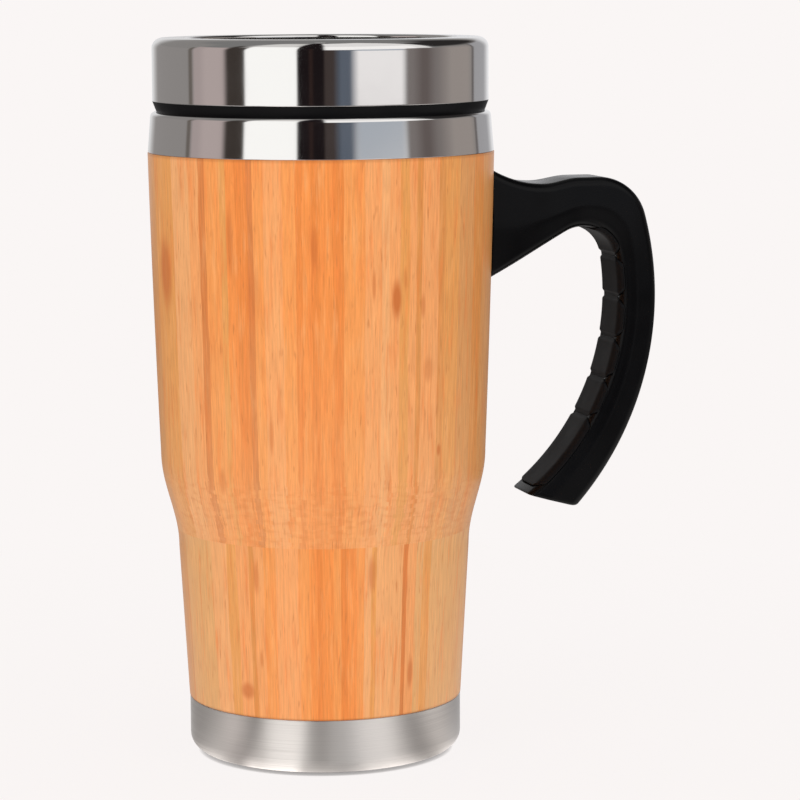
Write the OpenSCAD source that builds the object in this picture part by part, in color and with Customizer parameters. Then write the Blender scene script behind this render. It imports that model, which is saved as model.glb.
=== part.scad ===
// Travel mug: steel liner in a waisted bamboo sleeve, push-in lid with a slider, open handle.
// The mug stands on the XY plane, its axis is Z and its handle points along +X.

/* [Sleeve] */
// Height of the bamboo that shows between the base and the collar
sleeve_h = 138.5; // [130:0.5:150]
// Outside diameter at the sleeve's top edge
sleeve_top_d = 87; // [84:0.5:90]
// How much the upper wall draws in from the top edge to the waist, on the radius
wall_taper = 2.3; // [1.5:0.1:3.5]
// How much the waist draws in, on the radius
waist_draw = 4.3; // [3.6:0.1:5]
// How much the lower wall draws in from the waist to its foot, on the radius
foot_taper = 2.2; // [1:0.1:3]
// Height of the waist's lower end above the sleeve's lower edge
waist_rise = 38.7; // [34:0.5:44]
// Height over which the waist widens
waist_h = 24; // [18:0.5:30]
// Outward bow of the upper wall
sleeve_bow = 0.15; // [0:0.05:0.4]
// Bamboo left at the upper wall, just above the waist
sleeve_wall = 3; // [2.6:0.1:3.4]
// Bamboo left at the sleeve's lower edge
sleeve_foot_wall = 4.1; // [3.6:0.1:4.6]

/* [Base] */
// Height of the steel base, from the table to the bamboo
base_h = 14.3; // [12:0.1:18]
// How far the steel base lies inside the sleeve's lower edge, on the radius
base_step = 0.1; // [0.05:0.05:0.6]
// Sheet thickness of the base
base_wall = 0.7; // [0.5:0.1:0.9]
// Radius of the base's lower corner
base_corner = 4; // [3:0.25:5]
// Flat ring left between the base's rounded corner and the non-slip pad
pad_margin = 1.6; // [1.2:0.1:5]
// Thickness of the pad
pad_t = 1.3; // [1:0.1:1.6]
// How far the pad stands out of the base
pad_proud = 0.5; // [0.3:0.1:0.7]

/* [Collar and mouth] */
// Height of the steel collar above the bamboo
collar_h = 10; // [8:0.5:12]
// How much the collar draws in towards its top, on the radius
collar_draw = 0.8; // [0.4:0.1:1]
// Sheet thickness of the collar
collar_wall = 0.8; // [0.6:0.1:1]
// Radius of the collar's rolled top edge
collar_roll = 1.2; // [1:0.1:1.4]
// Width of the rim from the mouth's wall to the outside of the collar
rim_w = 4; // [3.8:0.1:4.4]

/* [Liner] */
// Sheet thickness of the liner
liner_wall = 0.7; // [0.5:0.1:0.8]
// Air gap between the liner's lower part and the sleeve
liner_gap = 1.3; // [1.1:0.1:2.5]
// Gap between the heads of the handle's screws and the liner
head_play = 0.35; // [0.2:0.05:1.5]
// Radius of the liner's bottom corner
liner_corner = 6; // [4:0.5:8]
// Height of the liner's bottom above the base's floor
liner_lift = 3; // [2.6:0.1:4]
// Depth of the straight mouth that takes the lid's plug
mouth_depth = 13.8; // [13:0.1:15]
// Height of the flare below the mouth
flare_h = 6; // [5:0.5:7]

/* [Lid] */
// Height of the lid's steel band
lid_h = 15.8; // [15:0.1:18]
// How far the lid's steel band lies inside the collar's top edge, on the radius
lid_step = 0.5; // [0.2:0.1:0.8]
// Sheet thickness of the lid's steel
lid_wall = 0.7; // [0.5:0.1:0.8]
// Radius of the lid's top edge
lid_edge = 2.6; // [2:0.1:3]
// Height of the dark flange under the steel band
flange_h = 2.6; // [2:0.1:3.2]
// How much the flange draws in towards its lower edge
flange_draw = 1; // [0.5:0.1:1.4]
// Room for the seal between the mouth and the wall of the lid's plug
seal_room = 2.1; // [1.7:0.1:2.6]
// Depth of the dish below the lid's top
dish_depth = 9.2; // [8.8:0.1:10]
// Wall of the moulded lid body
core_wall = 1.9; // [1.5:0.1:2]
// Depth of the plug in the mouth
plug_depth = 11.8; // [11:0.1:12.6]
// Width of the drink slot, measured across the mug
slot_w = 18; // [14:0.5:19]
// Depth of the drink slot, measured towards the axis
slot_depth = 6.4; // [5:0.2:7]
// Diameter of the vent hole
vent_d = 2.6; // [2:0.1:4]

/* [Slider] */
// Travel of the slider
slide_travel = 14; // [13:0.5:15]
// Width of the slider between its rails
slider_w = 23.4; // [22:0.2:24]
// Thickness of the slider's plate
slider_t = 2.2; // [2:0.1:2.4]
// Height of the slider's thumb ridge above its deck
ridge_h = 2.4; // [1.5:0.1:2.6]
// Number of ribs on the thumb ridge
ridge_ribs = 4; // [2:1:5]

/* [Handle] */
// Distance from the sleeve's top edge out to the outermost point of the handle
handle_out = 43.6; // [41:0.2:46]
// Distance from the sleeve's top edge down to the handle's crest
handle_drop = 7.8; // [6:0.2:11]
// Distance from the handle's crest down to its outermost point
belly_drop = 30.8; // [29:0.2:33]
// Distance from the handle's crest down to the corner of its lower end
handle_h = 85; // [80:0.2:88]
// How far the grip curves back from its outermost point to the corner of its lower end
tip_draw = 21.4; // [19:0.2:23]
// Depth of the grip at its outermost point
grip_depth = 9.8; // [8.8:0.2:10.8]
// Depth of the grip at its lower end
tip_depth = 19; // [17:0.25:20]
// Width of the grip
grip_w = 17; // [15:0.2:19]
// Width of the handle where it meets the sleeve
root_w = 23; // [21:0.2:24]
// Height of the arm below the crest
arm_h = 12.6; // [11.5:0.1:13.5]
// Radius of the outer bend
bend_out_r = 13; // [12:0.25:14]
// Radius under the arm, where it bends into the grip
bend_in_r = 9.4; // [8.4:0.2:10.4]
// Radius of the dip in the arm's top edge
dip_r = 30; // [26:0.5:34]
// Distance from the sleeve to the lowest point of that dip
dip_out = 16.6; // [15:0.4:19]
// Distance from the crest down to the arm's underside at the sleeve
root_drop = 24; // [22.6:0.2:25]
// Radius of the handle's long edges
handle_edge = 2.5; // [1.8:0.1:2.8]
// How far the middle of the handle's side stands out
side_crown = 0.5; // [0.2:0.1:0.8]
// Slope of the handle's lower end face, in degrees
tip_slope = 15.5; // [8:0.5:24]

/* [Grip strip] */
// Number of lobes on the long arc, below the one in the bend
grip_lobes = 5; // [4:1:5]
// Length of one lobe along the grip
lobe_len = 10.7; // [9:0.1:11.5]
// Length of the last lobe, towards the tip
last_lobe_len = 13.4; // [11:0.1:14]
// Radius of a lobe's corners
lobe_corner = 3.9; // [3:0.1:4.4]
// Depth of the strip's seat in the handle
seat_depth = 1; // [0.8:0.1:1.3]
// How far the lobes stand out of the handle
grip_proud = 0.45; // [0.3:0.05:0.7]

/* [Handle fixing] */
// Screw diameter
screw_d = 3.9; // [3:0.1:4]
// Screw length under the head
screw_len = 14; // [12:0.5:15]
// Distance between the two screws
screw_pitch = 9.5; // [8.5:0.1:10]
// Diameter of the screw heads
head_d = 6.8; // [6:0.1:7.2]
// Height of the screw heads
head_h = 1.7; // [1.4:0.1:1.8]
// Width of the plate inside the sleeve
plate_w = 16; // [12:0.5:20]
// Height of the plate
plate_h = 22; // [20:0.5:22.5]
// Thickness of the plate
plate_t = 1.2; // [0.8:0.1:1.3]

/* [Clearances] */
// Gap between pieces that are glued, crimped or pressed together
seat_gap = 0.05; // [0.02:0.01:0.1]
// Gap round pieces that are dropped into place
loose_gap = 0.15; // [0.1:0.01:0.25]
// Gap on each side of the slider
slide_gap = 0.25; // [0.15:0.01:0.35]
// Gap between the lid's seal and the mouth
seal_gap = 0.08; // [0.03:0.01:0.1]

/* [Hidden] */
$fn = 96;

// Overrun of every cutting shape past the face it cuts
over = 1;

// Heights, from the table up
sleeve_top_z = base_h + sleeve_h;
waist_low_z = base_h + waist_rise;
waist_top_z = waist_low_z + waist_h;
rim_z = sleeve_top_z + collar_h;
band_z = rim_z + flange_h;
lid_top_z = band_z + lid_h;
base_floor_z = pad_t + base_wall;
liner_z = base_floor_z + liner_lift;

// Radii of the sleeve and what meets it
sleeve_top_r = sleeve_top_d / 2;
shoulder_r = sleeve_top_r - wall_taper;
waist_r = shoulder_r - waist_draw;
foot_r = waist_r - foot_taper;
base_r = foot_r - base_step;
pad_r = base_r - base_corner - pad_margin;
low_bore_r = foot_r - sleeve_foot_wall;
up_bore_r = shoulder_r - sleeve_wall;
collar_step = 0.1;
collar_low_r = sleeve_top_r - collar_step;
collar_top_r = collar_low_r - collar_draw;
mouth_r = collar_top_r - rim_w;
mouth_bore_r = mouth_r + liner_wall + 2 * loose_gap;
top_spigot_r = collar_top_r - collar_wall - loose_gap;
top_spigot_h = collar_h - collar_wall - loose_gap;
low_spigot_r = base_r - base_wall - loose_gap;
mouth_low_z = rim_z - mouth_depth;
bore_step_z = mouth_low_z - flare_h / 2;
bore_slope_share = 0.25;
slope_low_z = waist_low_z + waist_h * bore_slope_share;
slope_top_z = waist_top_z + sleeve_wall;

// Radius of the sleeve's outside at a height: a straight foot, a waist that follows half a cosine
// wave, and an upper wall with a slight outward bow.
function sleeve_r(z) =
    z < waist_low_z
        ? foot_r + (waist_r - foot_r) * (z - base_h) / waist_rise
        : z < waist_top_z
            ? waist_r + (shoulder_r - waist_r) * (1 - cos(180 * (z - waist_low_z) / waist_h)) / 2
            : let (u = (z - waist_top_z) / (sleeve_top_z - waist_top_z))
              shoulder_r + (sleeve_top_r - shoulder_r) * u + 4 * sleeve_bow * u * (1 - u);

// Places of the handle and of what fixes it
handle_reach = sleeve_top_r + handle_out;
crest_z = sleeve_top_z - handle_drop;
belly_z = crest_z - belly_drop;
arch_z = crest_z - arm_h;
root_low_z = crest_z - root_drop;
tip_z = crest_z - handle_h;
grip_out_r = arc_r(tip_draw, belly_z - tip_z);
grip_in_r = arc_r(tip_draw + tip_depth - grip_depth, belly_z - tip_z);
sleeve_side_r = sleeve_r(crest_z - root_drop / 2);
root_in_r = up_bore_r + sleeve_wall / 2;
screw_rise = 1.9;
screw_mid_z = crest_z - root_drop / 2 + screw_rise;
screw_z = [for (s = [-1, 1]) screw_mid_z + s * screw_pitch / 2];
screw_hole_r = screw_d / 2 + loose_gap;
plate_out_r = up_bore_r - seat_gap;
plate_in_r = plate_out_r - plate_t;
head_seat_x = sqrt(square_of(plate_in_r) - square_of(head_d / 2)) - seat_gap;
screw_end_x = head_seat_x + screw_len;
liner_low_r = low_bore_r - liner_gap - liner_wall;
liner_up_r = head_seat_x - head_h - head_play - liner_wall;

function square_of(v) = v * v;

// Radius of an arc that falls back by a draw over a run along its tangent
function arc_r(draw, run) = (square_of(draw) + square_of(run)) / (2 * draw);

waist_steps = 14;
wall_steps = 10;
sleeve_outline = concat(
    [[foot_r, base_h]],
    [for (i = [0 : waist_steps]) let (z = waist_low_z + waist_h * i / waist_steps) [sleeve_r(z), z]],
    [for (i = [1 : wall_steps])
        let (z = waist_top_z + (sleeve_top_z - waist_top_z) * i / wall_steps) [sleeve_r(z), z]]);

// Half profile of a cup's outside: width r, height h, and a rounded lower corner
module foot_profile(r, h, corner) {
    intersection() {
        union() {
            translate([0, corner]) square([r, h - corner]);
            square([r - corner, h]);
            translate([r - corner, corner]) circle(corner);
        }
        square([r, h]);
    }
}

// Flat rectangle about the origin with round corners, without offsets
module soft_rect(w, h, corner) {
    square([w - 2 * corner, h], center = true);
    square([w, h - 2 * corner], center = true);
    for (sx = [-1, 1], sy = [-1, 1])
        translate([sx * (w / 2 - corner), sy * (h / 2 - corner)]) circle(corner);
}

// The liner's inside up to the mouth, grown by g on the wall and the floor
module liner_space(g) {
    low_r = liner_low_r + g;
    up_r = liner_up_r + g;
    top_r = mouth_r + g;
    translate([0, liner_z + liner_wall - g])
        foot_profile(low_r, slope_low_z - liner_z - liner_wall + g, liner_corner + g);
    polygon([
        [0, slope_low_z],
        [low_r, slope_low_z],
        [up_r, slope_top_z],
        [up_r, mouth_low_z - flare_h],
        [top_r, mouth_low_z],
        [top_r, rim_z],
        [0, rim_z]]);
}

lip_w = 1.1;
lip_r = mouth_r + liner_wall + lip_w;

module inner_liner() {
    color("silver")
    rotate_extrude()
    difference() {
        union() {
            liner_space(liner_wall);
            translate([0, rim_z - liner_wall]) square([lip_r, liner_wall]);
        }
        liner_space(0);
        translate([0, rim_z - over]) square([mouth_r, 2 * over]);
    }
}

module collar_profile(inset) {
    low_r = collar_low_r - inset;
    top_r = collar_top_r - inset;
    roll = collar_roll - inset;
    top_z = rim_z - inset;
    polygon([
        [0, sleeve_top_z],
        [low_r, sleeve_top_z],
        [top_r, top_z - roll],
        [top_r - roll, top_z - roll],
        [top_r - roll, top_z],
        [0, top_z]]);
    translate([top_r - roll, top_z - roll])
        intersection() {
            circle(roll);
            square(roll);
        }
}

module rim_collar() {
    color("silver")
    rotate_extrude()
    difference() {
        collar_profile(0);
        collar_profile(collar_wall);
        translate([0, sleeve_top_z - over]) square([lip_r + seat_gap, collar_h + 2 * over]);
        translate([0, sleeve_top_z - over]) square([collar_low_r - collar_wall, over]);
    }
}

module bamboo_sleeve() {
    low_z = base_floor_z + spacer_foot_h + seat_gap;
    color("burlywood")
    difference() {
        rotate_extrude() {
            polygon(concat([[0, base_h]], sleeve_outline, [[0, sleeve_top_z]]));
            translate([0, low_z]) square([low_spigot_r, base_h - low_z]);
            translate([0, sleeve_top_z]) square([top_spigot_r, top_spigot_h]);
        }
        rotate_extrude()
            polygon([
                [0, low_z - over],
                [low_bore_r, low_z - over],
                [low_bore_r, slope_low_z],
                [up_bore_r, slope_top_z],
                [up_bore_r, bore_step_z],
                [mouth_bore_r, bore_step_z],
                [mouth_bore_r, rim_z],
                [0, rim_z]]);
        for (z = screw_z)
            translate([0, 0, z]) rotate([0, 90, 0]) cylinder(r = screw_hole_r, h = sleeve_top_r + over);
    }
}

module base_cup() {
    color("lightgray")
    rotate_extrude()
    difference() {
        translate([0, pad_proud]) foot_profile(base_r, base_h - pad_proud, base_corner);
        difference() {
            translate([0, pad_proud + base_wall])
                foot_profile(base_r - base_wall, base_h, base_corner - base_wall);
            square([pad_r + loose_gap + base_wall, base_floor_z]);
        }
        square([pad_r + loose_gap, pad_t]);
    }
}

pad_groove_w = 1.6;
pad_groove_depth = 0.5;
pad_groove_shares = [0.35, 0.6, 0.85];

module base_pad() {
    color("dimgray")
    rotate_extrude()
    difference() {
        square([pad_r, pad_t]);
        for (share = pad_groove_shares)
            translate([pad_r * share, 0]) square([pad_groove_w, 2 * pad_groove_depth], center = true);
    }
}

spacer_foot_h = 2.4;
spacer_rim_h = 7;
spacer_hole_r = 16;

module liner_spacer() {
    color("gainsboro")
    rotate_extrude()
    difference() {
        union() {
            translate([0, base_floor_z])
                square([low_bore_r + sleeve_foot_wall / 2, spacer_foot_h]);
            translate([0, base_floor_z]) square([low_bore_r - loose_gap, spacer_rim_h]);
        }
        square([spacer_hole_r, rim_z]);
        translate([0, liner_z])
            square([liner_low_r + liner_wall + loose_gap, spacer_rim_h]);
    }
}

// Handle outline in the XZ plane, as tangent arcs. A centre is [x, z].
grip_out_c = [handle_reach - grip_out_r, belly_z];
grip_in_c = [handle_reach - grip_depth - grip_in_r, belly_z];
bend_out_z = crest_z - bend_out_r;
bend_out_c = [grip_out_c[0] + sqrt(square_of(grip_out_r - bend_out_r) - square_of(bend_out_z - belly_z)),
              bend_out_z];
bend_in_z = arch_z - bend_in_r;
bend_in_c = [grip_in_c[0] + sqrt(square_of(grip_in_r - bend_in_r) - square_of(bend_in_z - belly_z)),
             bend_in_z];
dip_x = sleeve_side_r + dip_out;
dip_c = [dip_x, bend_out_z + sqrt(square_of(bend_out_r + dip_r) - square_of(bend_out_c[0] - dip_x))];

function along(a) = [cos(a), sin(a)];
function angle_to(v) = atan2(v[1], v[0]);

// Distance from point p, in direction a, to the circle about c; way is 1 for its far side, -1 for its near
function ray_to(p, a, c, r, way) =
    let (m = (c - p) * along(a))
    m + way * sqrt(r * r - (c - p) * (c - p) + m * m);

// Directions, seen from the centre under the arm, at which the outer edge goes from arc to arc
grip_bend_point = grip_out_c + grip_out_r * along(angle_to(bend_out_c - grip_out_c));
bend_dip_point = bend_out_c + bend_out_r * along(angle_to(dip_c - bend_out_c));
bend_from_a = angle_to(grip_bend_point - bend_in_c);
bend_to_a = angle_to(bend_dip_point - bend_in_c);

// Where the grip's inner arc goes over into the arc under the arm, and where that meets the underside
join_a = angle_to(bend_in_c - grip_in_c);
root_point = [sleeve_side_r, root_low_z];
under_a = angle_to(bend_in_c - root_point) + asin(bend_in_r / norm(bend_in_c - root_point));
under_point = bend_in_c + bend_in_r * along(under_a + 90);

function outer_from_bend(a) =
    bend_in_c + along(a) * (
        a < bend_from_a
            ? ray_to(bend_in_c, a, grip_out_c, grip_out_r, 1)
            : ray_to(bend_in_c, a, bend_out_c, bend_out_r, 1));

// Underside of the arm at x: the arc under the bend, then a straight run to the root
function under_z(x) =
    x > under_point[0]
        ? bend_in_c[1] + sqrt(square_of(bend_in_r) - square_of(x - bend_in_c[0]))
        : under_point[1] + (x - under_point[0]) * tan(under_a);

// Outer corner of the slanted lower end, and the direction at which the loft ends, past that face
tip_corner = [grip_out_c[0] + sqrt(square_of(grip_out_r) - square_of(tip_z - belly_z)), tip_z];
tip_overrun_a = 6;
tip_a = asin((tip_z - belly_z) / grip_in_r) - tip_overrun_a;
grip_steps = 26;
bend_steps = 13;
arm_steps = 16;

// Stations of the loft: [point on the inner edge, point on the outer edge]
grip_stations = [for (i = [0 : grip_steps])
    let (a = tip_a + (join_a - tip_a) * i / grip_steps)
    [grip_in_c + grip_in_r * along(a),
     grip_in_c + along(a) * ray_to(grip_in_c, a, grip_out_c, grip_out_r, 1)]];
bend_stations = [for (i = [1 : bend_steps])
    let (a = join_a + (bend_to_a - join_a) * i / bend_steps)
    [bend_in_c + bend_in_r * along(a), outer_from_bend(a)]];
arm_in_x = bend_in_c[0] + bend_in_r * cos(bend_to_a);
arm_stations = [for (i = [1 : arm_steps])
    let (u = i / arm_steps,
         in_x = arm_in_x + (root_in_r - arm_in_x) * u,
         out_x = bend_dip_point[0] + (root_in_r - bend_dip_point[0]) * u)
    [[in_x, under_z(in_x)],
     [out_x, dip_c[1] - sqrt(square_of(dip_r) - square_of(out_x - dip_x))]]];
handle_stations = concat(grip_stations, bend_stations, arm_stations);

// The handle widens along its arm, by half a cosine wave, to its root on the sleeve
function half_width(x, z) =
    let (u = z < belly_z ? 0 : max(0, min(1, (bend_in_c[0] - x) / (bend_in_c[0] - sleeve_side_r))))
    (grip_w + (root_w - grip_w) * (1 - cos(180 * u)) / 2) / 2;

// Cross-section at one station: a rectangle with round corners and sides that crown in the middle
corner_steps = 4;
crown_share = 0.55;

function corner_points(cs, cy, a0) =
    [for (i = [0 : corner_steps])
        let (a = a0 + 90 * i / corner_steps) [cs + handle_edge * cos(a), cy + handle_edge * sin(a)]];

function cross_section(depth, half_w) =
    let (lo = handle_edge, hi = depth - handle_edge, side = half_w - side_crown - handle_edge)
    concat(
        corner_points(hi, side, 0),
        [[depth * crown_share, half_w]],
        corner_points(lo, side, 90),
        corner_points(lo, -side, 180),
        [[depth * crown_share, -half_w]],
        corner_points(hi, -side, 270));

function station_points(inner, outer) =
    let (depth = norm(outer - inner),
         way = (outer - inner) / depth,
         mid = (inner + outer) / 2)
    [for (p = cross_section(depth, half_width(mid[0], mid[1])))
        [inner[0] + way[0] * p[0], p[1], inner[1] + way[1] * p[0]]];

ring_count = 4 * (corner_steps + 1) + 2;

module handle_loft() {
    count = len(handle_stations);
    points = [for (s = handle_stations) each station_points(s[0], s[1])];
    sides = [for (i = [0 : count - 2], j = [0 : ring_count - 1])
        let (k = (j + 1) % ring_count, a = i * ring_count, b = a + ring_count)
        each [[a + j, b + k, a + k], [a + j, b + j, b + k]]];
    first = [for (j = [0 : ring_count - 1]) j];
    last = [for (j = [ring_count - 1 : -1 : 0]) (count - 1) * ring_count + j];
    polyhedron(points = points, faces = concat(sides, [first, last]), convexity = 4);
}

// Turns a profile of [radius, width] about a centre in the XZ plane, between two directions
module arc_sweep(centre, from_a, to_a) {
    translate([centre[0], 0, centre[1]])
        rotate([90, 0, 0])
            rotate([0, 0, from_a])
                rotate_extrude(angle = to_a - from_a)
                    children();
}

// Lobes: [centre of the arc, radius of the arc, middle direction, length along the arc]
lobe_turn = 180 * lobe_len / (PI * grip_in_r);
last_turn = 180 * last_lobe_len / (PI * grip_in_r);
first_turn = 180 * lobe_len / (PI * bend_in_r);
long_turn = (grip_lobes - 1) * lobe_turn;
strip_end_a = join_a - long_turn - last_turn;
grip_list = concat(
    [[bend_in_c, bend_in_r, join_a + first_turn / 2, lobe_len]],
    [for (i = [0 : grip_lobes - 2]) [grip_in_c, grip_in_r, join_a - (i + 0.5) * lobe_turn, lobe_len]],
    [[grip_in_c, grip_in_r, join_a - long_turn - last_turn / 2, last_lobe_len]]);
lobe_lap = 0.2;
groove_r = 1.8;
groove_depth = 0.6;
strip_back = seat_depth - seat_gap;
join_lap_a = 3;
lobe_w = grip_w + 2 * grip_proud - 2 * side_crown;

module lobe_prisms(g) {
    for (lobe = grip_list)
        translate([lobe[0][0], 0, lobe[0][1]])
            rotate([0, -lobe[2], 0])
                translate([lobe[1] - bend_in_r / 2, 0, 0])
                    rotate([0, 90, 0])
                        linear_extrude(height = bend_in_r / 2 + 2 * seat_depth)
                            soft_rect(lobe[3] + lobe_lap + 2 * g, lobe_w + 2 * g, lobe_corner);
}

// Half profile of the grip strip on an arc of radius r, with the handle's own rounded corners
module strip_profile(r) {
    corner = handle_edge + grip_proud;
    intersection() {
        translate([r - grip_proud + corner, 0])
            soft_rect(2 * corner, lobe_w, corner - seat_gap);
        translate([r + strip_back / 2 - corner / 2, 0])
            square([strip_back + corner, 2 * grip_w], center = true);
    }
}

module strip_shape() {
    arc_sweep(grip_in_c, strip_end_a, join_a) strip_profile(grip_in_r);
    arc_sweep(bend_in_c, join_a - join_lap_a, join_a + first_turn) strip_profile(bend_in_r);
}

// Space that the strip's seat takes out of the handle
module strip_seat() {
    intersection() {
        union() {
            arc_sweep(grip_in_c, strip_end_a - lobe_turn, join_a)
                translate([grip_in_r - bend_in_r / 2, -grip_w])
                    square([bend_in_r / 2 + seat_depth, 2 * grip_w]);
            arc_sweep(bend_in_c, join_a - join_lap_a, join_a + 2 * first_turn)
                translate([bend_in_r / 2, -grip_w])
                    square([bend_in_r / 2 + seat_depth, 2 * grip_w]);
        }
        lobe_prisms(seat_gap);
    }
}

// Shallow grooves across the strip, one between each two lobes
module strip_grooves() {
    for (i = [0 : grip_lobes - 1])
        translate([grip_in_c[0], 0, grip_in_c[1]])
            rotate([0, i * lobe_turn - join_a, 0])
                translate([grip_in_r - grip_proud + groove_depth - groove_r, 0, 0])
                    rotate([90, 0, 0])
                        cylinder(r = groove_r, h = 2 * grip_w, center = true);
}

module grip_pad() {
    color("dimgray")
    intersection() {
        difference() {
            strip_shape();
            strip_grooves();
        }
        lobe_prisms(0);
    }
}

// Room for the sleeve: its outside, grown by the gap
module sleeve_room() {
    rotate_extrude()
        polygon(concat(
            [[0, waist_top_z]],
            [for (p = sleeve_outline) if (p[1] >= waist_top_z) [p[0] + seat_gap, p[1]]],
            [[sleeve_top_r + seat_gap, rim_z], [0, rim_z]]));
}

module handle() {
    color("black")
    difference() {
        handle_loft();
        sleeve_room();
        strip_seat();
        for (z = screw_z)
            translate([0, 0, z]) rotate([0, 90, 0])
                cylinder(r = screw_d / 2 + seat_gap, h = screw_end_x + over);
        translate([tip_corner[0], 0, tip_corner[1]])
            rotate([0, tip_slope, 0])
                translate([0, 0, -handle_h])
                    cube([2 * handle_reach, 2 * grip_w, 2 * handle_h], center = true);
    }
}

module handle_plate() {
    color("silver")
    difference() {
        intersection() {
            difference() {
                cylinder(r = plate_out_r, h = rim_z);
                translate([0, 0, -over]) cylinder(r = plate_in_r, h = rim_z + 2 * over);
            }
            translate([0, 0, screw_mid_z])
                rotate([90, 0, 90])
                    linear_extrude(height = sleeve_top_r) soft_rect(plate_w, plate_h, head_h);
        }
        for (z = screw_z)
            translate([0, 0, z]) rotate([0, 90, 0]) cylinder(r = screw_hole_r, h = sleeve_top_r);
    }
}

recess_w = 0.9;
recess_share = 0.6;

module handle_screws() {
    color("gray")
    for (z = screw_z)
        translate([head_seat_x, 0, z])
            rotate([0, 90, 0])
                difference() {
                    union() {
                        cylinder(r = screw_d / 2, h = screw_len);
                        translate([0, 0, -head_h]) cylinder(r = head_d / 2, h = head_h);
                    }
                    for (turn = [0, 90])
                        rotate([0, 0, turn])
                            translate([0, 0, -head_h])
                                cube([head_d * recess_share, recess_w, head_h], center = true);
                }
}

// Lid sizes that follow from the mouth and from each other
lid_r = collar_top_r - lid_step;
dish_r = mouth_r - seal_room - core_wall;
core_r = lid_r - lid_wall - loose_gap;
wall_out_r = dish_r + core_wall;
floor_z = lid_top_z - dish_depth;
core_top_z = lid_top_z - lid_wall - loose_gap;
plug_low_z = rim_z - plug_depth;
plug_play = 0.5;
plug_r = mouth_r - plug_play;
rib_draw = 0.25;
rib_r = plug_r - rib_draw;
rib_h = 1.2;
seal_h = 3.2;
plug_lead = 1.3;
seal_z = plug_low_z + plug_lead + rib_h + loose_gap;
locate_h = 1.6;

module cover_profile(inset) {
    r = lid_r - inset;
    edge = lid_edge - inset;
    top_z = lid_top_z - inset;
    translate([0, band_z]) square([r, top_z - edge - band_z]);
    translate([0, band_z]) square([r - edge, top_z - band_z]);
    translate([r - edge, top_z - edge])
        intersection() {
            circle(edge);
            square(edge);
        }
}

hem_h = 3;
hem_out_r = dish_r - seat_gap;
hem_in_r = hem_out_r - lid_wall;

module lid_cover() {
    color("silver")
    rotate_extrude()
    difference() {
        cover_profile(0);
        difference() {
            cover_profile(lid_wall);
            translate([0, lid_top_z - hem_h]) square([hem_out_r, hem_h]);
        }
        translate([0, band_z - over]) square([hem_in_r, lid_h + 2 * over]);
        translate([0, band_z - over]) square([lid_r - lid_wall, over]);
    }
}

// Rails that hold the slider down; x is measured from the slider's middle line
rail_w = 1.8;
rail_lip = 1.2;
rail_lip_t = 1.3;
rail_in_x = slider_w / 2 + slide_gap;
lift_gap = slide_gap / 2;
rail_h = slider_t + 2 * lift_gap + rail_lip_t;
slider_front_r = dish_r - slide_gap;
slider_rear = 3;
rail_end_gap = 4.25;
rail_front = sqrt(square_of(dish_r) - square_of(rail_in_x + rail_w)) - rail_end_gap;
stop_y = slider_rear + slide_travel + slide_gap;
rail_len = stop_y + rail_w + rail_front;

module rail(side) {
    mirror([side < 0 ? 1 : 0, 0, 0]) {
        translate([rail_in_x, -rail_front, floor_z - core_wall / 2])
            cube([rail_w, rail_len, rail_h + core_wall / 2]);
        translate([rail_in_x - rail_lip, -rail_front, floor_z + rail_h - rail_lip_t])
            cube([rail_lip + rail_w / 2, rail_len, rail_lip_t]);
    }
}

slot_bar = 3.4;
slot_out_r = dish_r - slot_bar;
slot_in_r = slot_out_r - slot_depth;
slot_half_a = asin((slot_w - slot_depth) / 2 / (slot_out_r - slot_depth / 2));

// Kidney-shaped drink slot with round ends, near the dish's wall at -Y
module slot_cut() {
    mid_r = slot_out_r - slot_depth / 2;
    translate([0, 0, floor_z - core_wall - over]) {
        rotate([0, 0, -90 - slot_half_a])
            rotate_extrude(angle = 2 * slot_half_a)
                translate([slot_in_r, 0]) square([slot_depth, core_wall + 2 * over]);
        for (s = [-1, 1])
            rotate([0, 0, -90 + s * slot_half_a])
                translate([mid_r, 0, 0]) cylinder(r = slot_depth / 2, h = core_wall + 2 * over);
    }
}

vent_inset = 7;
vent_out = dish_r - vent_inset;

module lid_core() {
    color("black")
    difference() {
        union() {
            rotate_extrude() {
                translate([dish_r, plug_low_z]) square([core_wall, core_top_z - plug_low_z]);
                translate([0, floor_z - core_wall]) square([dish_r + core_wall / 2, core_wall]);
                intersection() {
                    cover_profile(lid_wall + loose_gap);
                    union() {
                        translate([dish_r, core_top_z - core_wall]) square([core_r - dish_r, core_wall]);
                        translate([dish_r, band_z]) square([core_r - dish_r, locate_h]);
                    }
                }
                for (z = [seal_z - rib_h - loose_gap, seal_z + seal_h + loose_gap])
                    translate([dish_r, z]) square([rib_r - dish_r, rib_h]);
                polygon([
                    [dish_r, rim_z - rib_h],
                    [plug_r, rim_z - rib_h],
                    [plug_r, rim_z],
                    [lid_r - flange_draw, rim_z],
                    [lid_r, band_z],
                    [dish_r, band_z]]);
            }
            rail(-1);
            rail(1);
            translate([-rail_in_x, stop_y, floor_z - core_wall / 2])
                cube([2 * rail_in_x, rail_w, slider_t + core_wall / 2]);
        }
        slot_cut();
        translate([0, vent_out, floor_z - core_wall - over])
            cylinder(d = vent_d, h = core_wall + 2 * over);
    }
}

bead_r = 0.7;

module lid_seal() {
    in_r = wall_out_r + seat_gap;
    bead_x = mouth_r - seal_gap - bead_r;
    color("lightgray")
    rotate_extrude() {
        translate([in_r, seal_z]) square([bead_x - in_r, seal_h]);
        for (z = [seal_z + bead_r, seal_z + seal_h - bead_r])
            translate([bead_x, z]) circle(bead_r);
    }
}

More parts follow.
